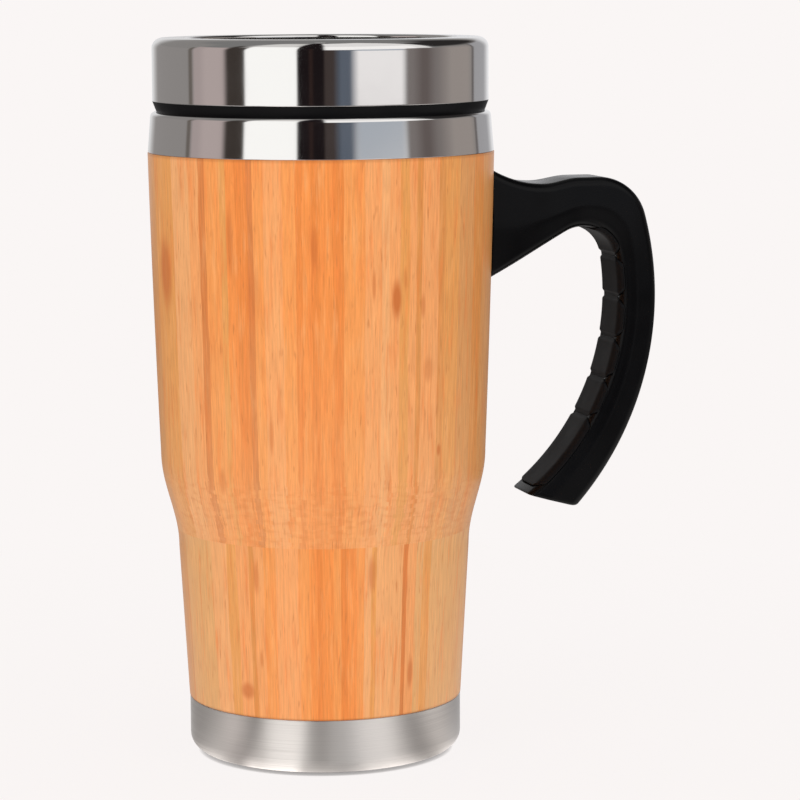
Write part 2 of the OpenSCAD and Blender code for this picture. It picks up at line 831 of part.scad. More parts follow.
// Slider, drawn over the closed drink slot
deck_w = slider_w - 2 * (rail_lip + slide_gap);
deck_t = rail_h - lift_gap;
slider_z = floor_z + lift_gap;
seal_lap = 1;
seal_pad_t = 1.1;
seal_pad_w = slot_w + 2 * seal_lap;
ridge_w = 15;
rib_t = 1.5;
rib_pitch = 2.6;
ridge_out = 11.5;

module slider_outline(w) {
    intersection() {
        circle(slider_front_r);
        translate([-w / 2, -dish_r]) square([w, dish_r + slider_rear]);
    }
}

module seal_outline(g) {
    difference() {
        intersection() {
            circle(slot_out_r + seal_lap + g);
            translate([-seal_pad_w / 2 - g, -dish_r]) square([seal_pad_w + 2 * g, dish_r]);
        }
        circle(slot_in_r - seal_lap - g);
    }
}

// One rib of the thumb ridge, with a round top
module thumb_rib() {
    translate([-ridge_w / 2, -rib_t / 2, -deck_t / 2])
        cube([ridge_w, rib_t, ridge_h - rib_t / 2 + deck_t / 2]);
    translate([0, 0, ridge_h - rib_t / 2])
        rotate([0, 90, 0])
            cylinder(d = rib_t, h = ridge_w, center = true);
}

module slider() {
    color("dimgray")
    difference() {
        union() {
            translate([0, 0, slider_z]) linear_extrude(height = slider_t) slider_outline(slider_w);
            translate([0, 0, slider_z]) linear_extrude(height = deck_t) slider_outline(deck_w);
            for (i = [0 : ridge_ribs - 1])
                translate([0, (i - (ridge_ribs - 1) / 2) * rib_pitch - ridge_out, slider_z + deck_t])
                    thumb_rib();
        }
        translate([0, 0, slider_z - over])
            linear_extrude(height = over + seal_pad_t)
                seal_outline(loose_gap);
    }
}

module slider_seal() {
    color("lightgray")
    translate([0, 0, floor_z + seat_gap])
        linear_extrude(height = seal_pad_t + lift_gap - 2 * seat_gap)
            seal_outline(0);
}

inner_liner();
rim_collar();
bamboo_sleeve();
base_cup();
base_pad();
liner_spacer();
handle();
grip_pad();
handle_plate();
handle_screws();
lid_cover();
lid_core();
lid_seal();
slider();
slider_seal();
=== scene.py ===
"""Travel mug with a bamboo sleeve: the visual model, its finishes and its studio.

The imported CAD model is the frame. Sizes are in millimetres and are turned to metres where a mesh
is made. The mug stands on z = 0, its axis is Z and its handle points along +X.
"""
import logging
import math
from dataclasses import dataclass
from enum import Enum

import bpy
import numpy as np
from mathutils import Matrix, Vector


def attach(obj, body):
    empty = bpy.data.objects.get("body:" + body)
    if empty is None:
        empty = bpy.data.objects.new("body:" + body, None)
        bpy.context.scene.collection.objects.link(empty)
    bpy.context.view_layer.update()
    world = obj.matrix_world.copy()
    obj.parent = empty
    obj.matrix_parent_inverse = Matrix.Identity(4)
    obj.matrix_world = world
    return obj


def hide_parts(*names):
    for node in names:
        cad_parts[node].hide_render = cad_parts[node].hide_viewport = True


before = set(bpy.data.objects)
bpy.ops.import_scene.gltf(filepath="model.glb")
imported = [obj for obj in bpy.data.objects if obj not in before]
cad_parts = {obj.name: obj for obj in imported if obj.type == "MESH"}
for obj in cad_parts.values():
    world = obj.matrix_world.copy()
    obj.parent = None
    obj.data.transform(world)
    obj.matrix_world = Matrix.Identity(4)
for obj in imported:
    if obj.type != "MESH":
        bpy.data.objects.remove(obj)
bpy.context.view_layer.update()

LOG = logging.getLogger("travel_mug")
MM = 0.001
CAMERA_TURN = -14.0      # azimuth of the camera in the part's frame, in degrees
LATHE_STEPS = 192
GUARD = 0.08             # distance in mm from a rounded corner's arc to the points that guard it

Colour = tuple[float, float, float, float]
Link = bpy.types.Node | bpy.types.NodeSocket     # a node stands for its first output


class Body(Enum):
    """The CAD bodies that new pieces ride on."""

    MUG = "mug"
    LID = "lid"


class Slot(Enum):
    """The record's material slots."""

    POLISHED_STEEL = "polished_steel"
    SATIN_STEEL = "satin_steel"
    LINER_STEEL = "liner_steel"
    SCREW_STEEL = "screw_steel"
    BAMBOO = "bamboo"
    HANDLE_PLASTIC = "handle_plastic"
    GRIP_RUBBER = "grip_rubber"
    LID_PLASTIC = "lid_plastic"
    SLIDER_PLASTIC = "slider_plastic"
    SPACER_PLASTIC = "spacer_plastic"
    PAD_RUBBER = "pad_rubber"
    SILICONE = "silicone"


class Tone(Enum):
    """Tones of the bamboo strips, as sRGB hex values."""

    STRAW = "#DEAE72"
    PALE = "#EDAE74"
    PEACH = "#EFA264"
    APRICOT = "#F0984E"
    AMBER = "#F08C3E"
    DEEP = "#E57E30"
    HONEY = "#E09C52"
    OCHRE = "#D48C46"
    RUST = "#CC7236"
    TAN = "#D0965A"


def to_linear(colour: str) -> Colour:
    """Turns an sRGB hex value into a linear colour.

    Args:
        colour: the value as "#RRGGBB".

    Returns:
        Linear red, green, blue and an alpha of 1.
    """
    parts = np.array([int(colour[i:i + 2], 16) for i in (1, 3, 5)]) / 255.0
    linear = np.where(parts <= 0.04045, parts / 12.92, ((parts + 0.055) / 1.055) ** 2.4)
    return (*linear.tolist(), 1.0)


def new_object(name: str, data: bpy.types.ID) -> bpy.types.Object:
    """Makes an object of some data and links it into the scene.

    Args:
        name: name of the object.
        data: its mesh, light or camera.

    Returns:
        The object.
    """
    item = bpy.data.objects.new(name, data)
    bpy.context.scene.collection.objects.link(item)
    return item


# Surfaces


def unit(vectors: np.ndarray) -> np.ndarray:
    """Each row's vector at length 1; one of no length stays as it is."""
    return vectors / np.maximum(np.linalg.norm(vectors, axis=-1, keepdims=True), 1e-9)


def ease(u: np.ndarray) -> np.ndarray:
    """Half a cosine wave from 0 to 1: (1 - cos(pi u)) / 2."""
    return (1.0 - np.cos(np.pi * u)) / 2.0


def rounded(corners: np.ndarray | list, radii: np.ndarray | list, steps: int) -> np.ndarray:
    """Rounds the corners of a closed outline.

    Each corner becomes an arc between the points where a circle of its radius touches the two
    sides: centre = corner + bisector * radius / sin(half the angle). A guard point on each side
    of the arc keeps the shading of the flats flat.

    Args:
        corners: outline corners, one (r, z) pair a row, in mm.
        radii: radius at each corner; zero leaves it as it is.
        steps: segments of each arc.

    Returns:
        The rounded outline, one (r, z) pair a row.
    """
    corners, radius = np.array(corners), np.array(radii)[:, None]
    back = unit(np.roll(corners, 1, axis=0) - corners)
    ahead = unit(np.roll(corners, -1, axis=0) - corners)
    half = 0.5 * np.arccos(np.clip((back * ahead).sum(1), -0.999999, 0.999999))[:, None]
    run = radius / np.tan(half)
    centre = corners + unit(back + ahead) * radius / np.sin(half)
    first, last = unit(corners + back * run - centre), unit(corners + ahead * run - centre)
    turn = np.pi - 2.0 * half[:, :, None]
    t = np.linspace(0.0, 1.0, steps + 1)[None, :, None]
    arc = (np.sin((1.0 - t) * turn) * first[:, None] + np.sin(t * turn) * last[:, None]) / np.sin(turn)
    arc = np.where(radius[:, None] > 0.0, centre[:, None] + radius[:, None] * arc, corners[:, None])
    run = run + GUARD * (radius > 0.0)
    outline = np.concatenate([(corners + back * run)[:, None], arc, (corners + ahead * run)[:, None]], axis=1)
    outline = outline.reshape(-1, 2)
    step = np.linalg.norm(outline - np.roll(outline, 1, axis=0), axis=1)
    return outline[step > 1e-5]


def grid_quads(rows: int, columns: int, closed: bool = False) -> np.ndarray:
    """Quads of a grid of points that is numbered row by row, each row a closed ring.

    Args:
        rows: number of rings.
        columns: number of points in a ring.
        closed: join the last ring to the first.

    Returns:
        Four point numbers a row.
    """
    i, j = np.meshgrid(np.arange(rows if closed else rows - 1), np.arange(columns), indexing="ij")
    k, m = (i + 1) % rows, (j + 1) % columns
    quads = np.stack([i * columns + j, k * columns + j, k * columns + m, i * columns + m], axis=-1)
    return quads.reshape(-1, 4)


def skin(name: str, rings: np.ndarray, hubs: np.ndarray | None = None,
         crease: float = 35.0) -> bpy.types.Mesh:
    """Makes a closed mesh in metres over a row of rings, with faces that point outwards.

    The volume is the sum of a x b . c / 6 over all triangles; when it comes out negative, the
    shell is inside out and its faces are turned.

    Args:
        name: name of the mesh.
        rings: points in mm, of shape (rings, points in a ring, 3).
        hubs: two points that close the end rings; without them the last ring joins the first.
        crease: angle in degrees past which an edge stays sharp.

    Returns:
        The mesh.
    """
    rows, columns = rings.shape[:2]
    points = rings.reshape(-1, 3)
    quads = grid_quads(rows, columns, hubs is None)
    caps = np.empty((0, 3), int)
    if hubs is not None:
        near = np.arange(columns)
        far = near + (rows - 1) * columns
        caps = np.concatenate([
            np.stack([near, np.roll(near, -1), np.full(columns, rows * columns)], axis=1),
            np.stack([np.roll(far, -1), far, np.full(columns, rows * columns + 1)], axis=1)])
        points = np.concatenate([points, hubs])
    triangles = np.concatenate([quads[:, [0, 1, 2]], quads[:, [0, 2, 3]], caps])
    a, b, c = (points[triangles[:, i]] for i in range(3))
    mesh = bpy.data.meshes.new(name)
    mesh.from_pydata((points * MM).tolist(), [], quads.tolist() + caps.tolist())
    if np.einsum("ij,ij->i", np.cross(a, b), c).sum() / 6.0 < 0.0:
        mesh.flip_normals()
    mesh.validate()
    mesh.shade_smooth()
    mesh.set_sharp_from_angle(angle=math.radians(crease))
    return mesh


def lathe(name: str, outline: np.ndarray, steps: int = LATHE_STEPS) -> bpy.types.Mesh:
    """Turns a closed outline about Z: x = r cos(turn), y = r sin(turn), z = z.

    Args:
        name: name of the mesh.
        outline: (r, z) pairs in mm. An outline that starts and ends on the axis is closed there.
        steps: segments of a full turn.

    Returns:
        The mesh.
    """
    turn = np.linspace(0.0, 2.0 * np.pi, steps, endpoint=False)
    on_axis = outline[0, 0] == 0.0
    wall = outline[1:-1] if on_axis else outline
    r, z = wall[:, :1], wall[:, 1:]
    rings = np.stack([r * np.cos(turn), r * np.sin(turn), z + 0.0 * turn], axis=-1)
    return skin(name, rings, np.insert(outline[[0, -1]], 1, 0.0, axis=1) if on_axis else None)


def rod(radius: float, x_from: float, x_to: float, z: float, steps: int = 48) -> bpy.types.Mesh:
    """A round rod along X at a height: y = r cos(turn), z = height + r sin(turn).

    Args:
        radius: radius of the rod in mm.
        x_from: where it starts.
        x_to: where it ends.
        z: its height.
        steps: segments of a full turn.

    Returns:
        The mesh.
    """
    turn = np.linspace(0.0, 2.0 * np.pi, steps, endpoint=False)
    ring = np.stack([0.0 * turn, radius * np.cos(turn), z + radius * np.sin(turn)], axis=1)
    rings = np.stack([ring + [x_from, 0.0, 0.0], ring + [x_to, 0.0, 0.0]])
    return skin("rod", rings, rings.mean(axis=1))


def cut_away(mesh: bpy.types.Mesh, cutters: list[bpy.types.Mesh]) -> bpy.types.Mesh:
    """Takes the cutters' space out of a mesh and drops the cutters.

    Args:
        mesh: the mesh to cut.
        cutters: closed meshes.

    Returns:
        The cut mesh, under the same name.
    """
    name = mesh.name
    blank = new_object("blank", mesh)
    tools = [new_object("cutter", cutter) for cutter in cutters]
    for tool in tools:
        modifier = blank.modifiers.new("cut", "BOOLEAN")
        modifier.operation = "DIFFERENCE"
        modifier.solver = "EXACT"
        modifier.object = tool
    result = bpy.data.meshes.new_from_object(blank.evaluated_get(bpy.context.evaluated_depsgraph_get()))
    for item in [blank, *tools]:
        data = item.data
        bpy.data.objects.remove(item)
        bpy.data.meshes.remove(data)
    result.name = name
    return result


# Finishes


def set_stops(node: bpy.types.Node, stops: list[tuple[float, Colour]]) -> None:
    """Gives a colour ramp its stops.

    Args:
        node: the ramp's node.
        stops: (position, linear colour) pairs, from position 0 up.
    """
    elements = node.color_ramp.elements
    elements.remove(elements[1])
    for position, colour in stops:
        stop = elements.new(position) if position > 0.0 else elements[0]
        stop.color = colour


class Shader:
    """A material's or world's node tree, with the one call that adds a node to it."""

    def __init__(self, name: str, world: bool = False) -> None:
        """Starts an empty material, or world, of that name."""
        self.owner = (bpy.data.worlds if world else bpy.data.materials).new(name)
        self.owner.use_nodes = True
        self.tree = self.owner.node_tree
        self.tree.nodes.clear()

    def add(self, kind: str, *first: Link | float | Colour, **named) -> bpy.types.Node:
        """Adds a node.

        Args:
            kind: the node's type without its ShaderNode prefix.
            first: links or values for its first inputs, in order.
            named: links or values for inputs by name, which starts in upper case and has _ for a
                space, and the node's own settings, which start in lower case.

        Returns:
            The node.
        """
        node = self.tree.nodes.new("ShaderNode" + kind)
        inputs = dict(enumerate(first))
        for key, value in named.items():
            if key[0].isupper():
                inputs[key.replace("_", " ")] = value
            else:
                setattr(node, key, value)
        for key, value in inputs.items():
            if isinstance(value, bpy.types.Node):
                value = value.outputs[0]
            if isinstance(value, bpy.types.NodeSocket):
                self.tree.links.new(value, node.inputs[key])
            else:
                node.inputs[key].default_value = value
        return node

    def finish(self, surface: Link) -> bpy.types.Material | bpy.types.World:
        """Links the surface to the output and returns the material or world."""
        self.add("OutputWorld" if isinstance(self.owner, bpy.types.World) else "OutputMaterial", surface)
        return self.owner


@dataclass(frozen=True)
class PolishedSteel:
    """Stainless steel sheet, spun and mirror-polished: sharp reflections with faint turning rings."""

    name: str = "polished_stainless_steel"
    colour: str = "#DCDAD8"
    roughness: float = 0.05
    smear: float = 0.05
    wipe_mm: float = 18.0
    ring_mm: float = 0.35
    ring_mm_high: float = 0.0006

    def build(self) -> bpy.types.Material:
        """Makes the material: a clean metal, its gloss wiped unevenly, its rings one fine bump."""
        s = Shader(self.name)
        place = s.add("TexCoord").outputs["Object"]
        x, y, z = s.add("SeparateXYZ", place).outputs
        reach = s.add("VectorMath", s.add("CombineXYZ", x, y), operation="LENGTH").outputs["Value"]
        wall = s.add("Math", z, reach, operation="SUBTRACT")
        rings = s.add("TexNoise", W=wall, Scale=1.0 / (self.ring_mm * MM), Detail=2.0, noise_dimensions="1D")
        wipes = s.add("TexNoise", place, Scale=1.0 / (self.wipe_mm * MM), Detail=3.0)
        gloss = s.add("MapRange", wipes, 0.3, 0.75, self.roughness, self.roughness + self.smear)
        bump = s.add("Bump", Height=rings, Distance=self.ring_mm_high * MM, Strength=1.0)
        return s.finish(s.add("BsdfPrincipled", Base_Color=to_linear(self.colour), Metallic=1.0,
                              Roughness=gloss, Normal=bump))


@dataclass(frozen=True)
class SatinSteel:
    """Stainless steel brushed round its axis: the brushing spreads each reflection up and down."""

    name: str = "satin_brushed_steel"
    colour: str = "#F0ECE8"
    shade: str = "#DEDAD6"
    roughness: float = 0.5
    uneven: float = 0.03
    anisotropy: float = 1.0
    line_mm: float = 0.16
    line_mm_high: float = 0.004

    def build(self) -> bpy.types.Material:
        """Makes the material: brushing lines round the axis in the bump, the gloss and the grain."""
        s = Shader(self.name)
        x, y, z = s.add("SeparateXYZ", s.add("TexCoord").outputs["Object"]).outputs
        turn = s.add("Math", x, y, operation="ARCTAN2")
        reach = s.add("VectorMath", s.add("CombineXYZ", x, y), operation="LENGTH").outputs["Value"]
        wall = s.add("Math", z, reach, operation="SUBTRACT")
        line = s.add("Math", wall, 1.0 / (self.line_mm * MM), operation="MULTIPLY")
        grain = s.add("CombineXYZ", turn, line)
        lines = s.add("TexNoise", grain, Scale=1.0, Detail=2.0, noise_dimensions="2D")
        tint = s.add("MixRGB", lines, to_linear(self.colour), to_linear(self.shade))
        gloss = s.add("MapRange", lines, 0.3, 0.7, self.roughness - self.uneven, self.roughness + self.uneven)
        bump = s.add("Bump", Height=lines, Distance=self.line_mm_high * MM, Strength=1.0)
        round_axis = s.add("Tangent", direction_type="RADIAL", axis="Z")
        return s.finish(s.add("BsdfPrincipled", Base_Color=tint, Metallic=1.0, Roughness=gloss,
                              Anisotropic=self.anisotropy, Anisotropic_Rotation=0.25, Tangent=round_axis,
                              Normal=bump))


@dataclass(frozen=True)
class DrawnSteel:
    """Steel sheet or bar straight from drawing or plating: satin, with a fine cloudy grain."""

    name: str
    colour: str
    shade: str
    roughness: float
    grain_mm: float
    grain_mm_high: float = 0.01
    cloud_mm: float = 9.0

    def build(self) -> bpy.types.Material:
        """Makes the material: a cloudy two-tone metal with a fine bump."""
        s = Shader(self.name)
        place = s.add("TexCoord").outputs["Object"]
        cloud = s.add("TexNoise", place, Scale=1.0 / (self.cloud_mm * MM), Detail=4.0)
        grain = s.add("TexNoise", place, Scale=1.0 / (self.grain_mm * MM), Detail=2.0)
        tint = s.add("MixRGB", cloud, to_linear(self.colour), to_linear(self.shade))
        gloss = s.add("MapRange", cloud, 0.3, 0.7, self.roughness - 0.05, self.roughness + 0.07)
        bump = s.add("Bump", Height=grain, Distance=self.grain_mm_high * MM, Strength=0.6)
        return s.finish(s.add("BsdfPrincipled", Base_Color=tint, Metallic=1.0, Roughness=gloss, Normal=bump))


@dataclass(frozen=True)
class MouldedPolymer:
    """Injection-moulded plastic or rubber: a faint mottle in colour and gloss over a moulded grain."""

    name: str
    colour: str
    mottle: str
    roughness: float
    grain_mm: float
    grain_mm_high: float
    ior: float = 1.5
    specular: float = 0.5
    milky: float = 0.0
    milk_mm: float = 1.5
    cloud_mm: float = 7.0

    def build(self) -> bpy.types.Material:
        """Makes the material: mottled base, uneven gloss and a grain bump of its own size."""
        s = Shader(self.name)
        place = s.add("TexCoord").outputs["Object"]
        cloud = s.add("TexNoise", place, Scale=1.0 / (self.cloud_mm * MM), Detail=3.0)
        grain = s.add("TexNoise", place, Scale=1.0 / (self.grain_mm * MM), Detail=3.0)
        tint = s.add("MixRGB", cloud, to_linear(self.colour), to_linear(self.mottle))
        gloss = s.add("MapRange", cloud, 0.3, 0.7, self.roughness - 0.03, self.roughness + 0.04)
        bump = s.add("Bump", Height=grain, Distance=self.grain_mm_high * MM, Strength=1.0)
        return s.finish(s.add("BsdfPrincipled", Base_Color=tint, Roughness=gloss, IOR=self.ior,
                              Specular_IOR_Level=self.specular, Subsurface_Weight=self.milky,
                              Subsurface_Scale=self.milk_mm * MM, Normal=bump))


@dataclass(frozen=True)
class Mark:
    """A node mark or a darker patch in one bamboo strip: its place and half sizes on the sleeve."""

    turn_deg: float
    z: float
    half_w: float
    half_h: float
    strength: float


@dataclass(frozen=True)
class Grain:
    """A noise stretched along the wood: the size of its spots in mm, its detail and roughness."""

    wide: float
    long: float
    detail: float
    roughness: float = 0.5


@dataclass(frozen=True)
class Veil:
    """A tone that comes over the wood as a factor goes from its start to its full value."""

    start: float
    full: float
    most: float
    tone: str


# Strips of the sleeve as (width in degrees, tone), from 90 degrees left of the camera's side to
# 90 degrees right of it: first above the waist's lower edge, then below it
UPPER_FRONT = [
    (18, Tone.TAN), (14, Tone.HONEY), (9, Tone.PALE), (5, Tone.PEACH), (3, Tone.RUST), (6, Tone.APRICOT),
    (2, Tone.HONEY), (4, Tone.AMBER), (4, Tone.DEEP), (2, Tone.RUST), (4, Tone.APRICOT), (6, Tone.PEACH),
    (4, Tone.APRICOT), (2, Tone.DEEP), (3, Tone.AMBER), (3, Tone.DEEP), (4, Tone.AMBER), (4, Tone.DEEP),
    (7, Tone.APRICOT), (5, Tone.PEACH), (3, Tone.PALE), (4, Tone.PEACH), (3, Tone.HONEY), (3, Tone.PEACH),
    (2, Tone.OCHRE), (7, Tone.PEACH), (3, Tone.OCHRE), (7, Tone.HONEY), (9, Tone.TAN), (7, Tone.OCHRE),
    (23, Tone.TAN),
]
LOWER_FRONT = [
    (20, Tone.TAN), (20, Tone.STRAW), (8, Tone.PALE), (5, Tone.HONEY), (6, Tone.PEACH), (2, Tone.OCHRE),
    (4, Tone.PEACH), (5, Tone.APRICOT), (9, Tone.PEACH), (4, Tone.APRICOT), (3, Tone.AMBER), (2, Tone.DEEP),
    (4, Tone.AMBER), (3, Tone.APRICOT), (3, Tone.DEEP), (3, Tone.AMBER), (3, Tone.APRICOT), (3, Tone.PALE),
    (2, Tone.HONEY), (11, Tone.PALE), (2, Tone.RUST), (4, Tone.PEACH), (4, Tone.STRAW), (4, Tone.HONEY),
    (33, Tone.STRAW), (11, Tone.TAN),
]
MARKS = [
    Mark(-64.0, 124.0, 3.2, 9.0, 0.75), Mark(25.0, 119.0, 1.3, 5.0, 0.9), Mark(17.0, 122.5, 0.5, 4.0, 0.5),
    Mark(-17.5, 86.0, 0.6, 5.0, 0.5), Mark(43.0, 81.0, 0.7, 1.6, 0.7), Mark(-33.0, 21.0, 2.4, 2.2, 0.7),
    Mark(36.5, 25.0, 1.0, 4.2, 0.7), Mark(-2.5, 132.0, 0.8, 6.0, 0.6), Mark(-31.0, 133.0, 1.0, 9.0, 0.5),
    Mark(28.0, 124.0, 0.5, 3.0, 0.4), Mark(18.5, 51.0, 1.1, 5.0, 0.6), Mark(-27.0, 50.0, 0.9, 4.5, 0.5),
    Mark(37.7, 101.3, 1.5, 3.4, 0.35), Mark(35.0, 117.0, 0.7, 3.2, 0.45), Mark(-37.0, 74.0, 1.1, 3.4, 0.45),
    Mark(-26.0, 29.5, 0.5, 2.4, 0.5), Mark(-22.9, 120.0, 2.0, 9.0, 0.3),
]
CALM_TONES = [Tone.PEACH, Tone.APRICOT, Tone.AMBER, Tone.HONEY, Tone.STRAW, Tone.TAN, Tone.PALE]


@dataclass(frozen=True)
class LaminatedBamboo:
    """Bamboo strips glued edge to edge, turned on a lathe and clear-coated, in mm.

    The strips run up the wall, each with its own tone, and start anew below the waist. In the
    waist the cutter crosses the glue lines, so their edges step and short arcs of the layers
    show one above the other. The upper boards grow paler towards the waist, and the coat
    gathers in a thin dark line at the joints with the steel.
    """

    name: str = "laminated_bamboo_clear_coated"
    radius: float = 40.0
    restart_z: float = 57.8
    ripple_top_z: float = 76.0
    ripple_start: float = 0.3
    ripple_fade: float = 5.0
    step_w: float = 0.55
    step_h: float = 1.1
    step_run: float = 2.7
    drift_w: float = 0.3
    back_strips: int = 30
    middle_tone: str = "#EC9A54"
    evenness: float = 0.3
    mark_tone: str = "#C66A2C"
    drift: Grain = Grain(2.857, 23.81, 2.0)
    streaks: Grain = Grain(1.6, 20.0, 3.0, 0.6)
    arcs: Grain = Grain(3.4, 1.25, 1.5)
    fibres: Grain = Grain(0.45, 10.0, 4.0, 0.65)
    ticks: Grain = Grain(0.6, 5.5, 1.0)
    pale_boards: tuple[Veil, ...] = (Veil(118.0, 66.0, 0.24, "#F2B982"),)
    streak_tones: tuple[Veil, ...] = (Veil(0.52, 0.74, 0.62, "#E8803A"), Veil(0.46, 0.26, 0.5, "#F0AE70"))
    arc_tones: tuple[Veil, ...] = (Veil(0.5, 0.68, 0.3, "#D98440"), Veil(0.46, 0.3, 0.26, "#F2AE6C"))
    tick_tones: tuple[Veil, ...] = (Veil(0.64, 0.78, 0.6, "#C2733A"),)
    joint_lines: tuple[Veil, ...] = (Veil(15.0, 14.4, 0.5, "#8A4E22"), Veil(151.9, 152.6, 0.35, "#8A4E22"))
    bump_mm: float = 0.03

    def back_plan(self, seed: int) -> list[tuple[float, Tone]]:
        """Strips for the side away from the camera.

        Args:
            seed: seed of the draw.

        Returns:
            (width in degrees, tone) for each strip.
        """
        draw = np.random.default_rng(seed)
        widths = draw.uniform(2.0, 10.0, self.back_strips)
        return list(zip(widths.tolist(), draw.choice(CALM_TONES, widths.size)))

    def ramp(self, s: Shader, factor: Link, plan: list[tuple[float, Tone]]) -> bpy.types.Node:
        """Turns a strip plan into a stepped colour ramp.

        Args:
            s: the material.
            factor: 0 at the plan's start, 1 at its end.
            plan: (width, tone) for each strip.

        Returns:
            The ramp.
        """
        widths = np.array([width for width, _ in plan], float)
        starts = np.concatenate([[0.0], np.cumsum(widths)[:-1]]) / widths.sum()
        node = s.add("ValToRGB", factor)
        node.color_ramp.interpolation = "CONSTANT"
        set_stops(node, [(start, to_linear(tone.value)) for start, (_, tone) in zip(starts.tolist(), plan)])
        return node

    def noise(self, s: Shader, grain: Grain, across: Link, up: Link, lane: Link | float = 0.0) -> Link:
        """Adds a noise that is stretched along the wood.

        Args:
            s: the material.
            grain: its size and detail.
            across: run round the wall.
            up: height.
            lane: third coordinate, which sets one noise apart from another.

        Returns:
            The noise.
        """
        place = s.add("Mapping", s.add("CombineXYZ", across, up, lane), Scale=(grain.wide, grain.long, 1.0),
                      vector_type="TEXTURE")
        return s.add("TexNoise", place, Scale=1.0, Detail=grain.detail, Roughness=grain.roughness)

    def lay(self, s: Shader, wood: Link, factor: Link, veils: tuple[Veil, ...],
            where: Link | float = 1.0) -> Link:
        """Lays veils over the wood.

        Args:
            s: the material.
            wood: colour below.
            factor: what the veils' values are values of.
            veils: the veils, from below up.
            where: share of them that shows.

        Returns:
            The colour with the veils over it.
        """
        for veil in veils:
            amount = s.add("MapRange", factor, veil.start, veil.full, 0.0, veil.most)
            shown = s.add("Math", amount, where, operation="MULTIPLY")
            wood = s.add("MixRGB", shown, wood, to_linear(veil.tone))
        return wood

    def edge(self, s: Shader, girth: Link, z: Link, in_waist: Link) -> Link:
        """Run round the wall that the strips follow.

        Their edges step where the waist cuts across the glue lines, and drift a little elsewhere.

        Args:
            s: the material.
            girth: run round the wall.
            z: height.
            in_waist: 1 in the waist, 0 outside it.

        Returns:
            The shifted run.
        """
        level = s.add("Math", s.add("Math", z, self.step_h, operation="DIVIDE"), operation="FLOOR")
        column = s.add("Math", s.add("Math", girth, self.step_run, operation="DIVIDE"), operation="FLOOR")
        toss = s.add("TexWhiteNoise", s.add("CombineXYZ", level, column), noise_dimensions="2D")
        steps = s.add("MapRange", toss, 0.0, 1.0, -self.step_w, self.step_w)
        drift = s.add("MapRange", self.noise(s, self.drift, girth, z), 0.2, 0.8, -self.drift_w, self.drift_w)
        shift = s.add("Math", steps, in_waist, drift, operation="MULTIPLY_ADD")
        return s.add("Math", girth, shift, operation="ADD")

    def strips(self, s: Shader, edge: Link, above: Link) -> Link:
        """Colours of the strips: one ramp for each half of the wall, above and below the restart.

        Args:
            s: the material.
            edge: run round the wall that the strips follow.
            above: 1 above the restart, 0 below it.

        Returns:
            The colour.
        """
        lap = s.add("Math", edge, 1.0 / (2.0 * math.pi * self.radius), 0.25, operation="MULTIPLY_ADD")
        lap = s.add("Math", s.add("Math", lap, operation="FRACT"), 2.0, operation="MULTIPLY")
        lap_back = s.add("Math", lap, 1.0, operation="SUBTRACT")
        behind = s.add("Math", lap, 1.0, operation="GREATER_THAN")
        upper, lower = (
            s.add("MixRGB", behind, self.ramp(s, lap, front), self.ramp(s, lap_back, self.back_plan(seed)))
            for front, seed in ((UPPER_FRONT, 3), (LOWER_FRONT, 11)))
        strips = s.add("MixRGB", above, lower, upper)
        return s.add("MixRGB", self.evenness, strips, to_linear(self.middle_tone))

    def marked(self, s: Shader, wood: Link, girth: Link, z: Link) -> Link:
        """Lays the node marks over the wood: an oval fall-off round each mark's place.

        Args:
            s: the material.
            wood: colour below.
            girth: run round the wall.
            z: height.

        Returns:
            The colour with the marks.
        """
        wall = s.add("CombineXYZ", girth, z)
        for mark in MARKS:
            middle = (math.radians(mark.turn_deg) * self.radius, mark.z, 0.0)
            oval = s.add("Mapping", wall, Location=middle, Scale=(mark.half_w, mark.half_h, 1.0),
                         vector_type="TEXTURE")
            far = s.add("VectorMath", oval, operation="LENGTH").outputs["Value"]
            near = s.add("MapRange", far, 0.4, 1.3, mark.strength, 0.0, interpolation_type="SMOOTHSTEP")
            wood = s.add("MixRGB", near, wood, to_linear(self.mark_tone))
        return wood

    def build(self) -> bpy.types.Material:
        """Makes the material: strips, and over them streaks, arcs, fibres, their dark ends and marks."""
        s = Shader(self.name)
        place = s.add("Mapping", s.add("TexCoord").outputs["Object"], Scale=(1.0 / MM, 1.0 / MM, 1.0 / MM),
                      Rotation=(0.0, 0.0, math.radians(-CAMERA_TURN)))
        x, y, z = s.add("SeparateXYZ", place).outputs
        turn = s.add("Math", x, s.add("Math", y, -1.0, operation="MULTIPLY"), operation="ARCTAN2")
        girth = s.add("Math", turn, self.radius, operation="MULTIPLY")
        above = s.add("Math", z, self.restart_z, operation="GREATER_THAN")
        over_restart = s.add("MapRange", z, self.restart_z, self.restart_z + self.ripple_start)
        under_top = s.add("MapRange", z, self.ripple_top_z, self.ripple_top_z - self.ripple_fade)
        in_waist = s.add("Math", over_restart, under_top, operation="MULTIPLY")
        edge = self.edge(s, girth, z, in_waist)
        wood = self.lay(s, self.strips(s, edge, above), z, self.pale_boards, above)
        wood = self.lay(s, wood, self.noise(s, self.streaks, edge, z, above), self.streak_tones)
        wood = self.lay(s, wood, self.noise(s, self.arcs, girth, z, 9.0), self.arc_tones, in_waist)
        fibre = self.noise(s, self.fibres, girth, z)
        shade = s.add("MapRange", fibre, 0.3, 0.72, 0.85, 1.12)
        wood = s.add("MixRGB", 1.0, wood, shade, blend_type="MULTIPLY")
        wood = self.lay(s, wood, self.noise(s, self.ticks, girth, z, 4.0), self.tick_tones)
        wood = self.lay(s, self.marked(s, wood, girth, z), z, self.joint_lines)
        gloss = s.add("MapRange", fibre, 0.3, 0.7, 0.42, 0.55)
        bump = s.add("Bump", Height=fibre, Distance=self.bump_mm * MM, Strength=0.6)
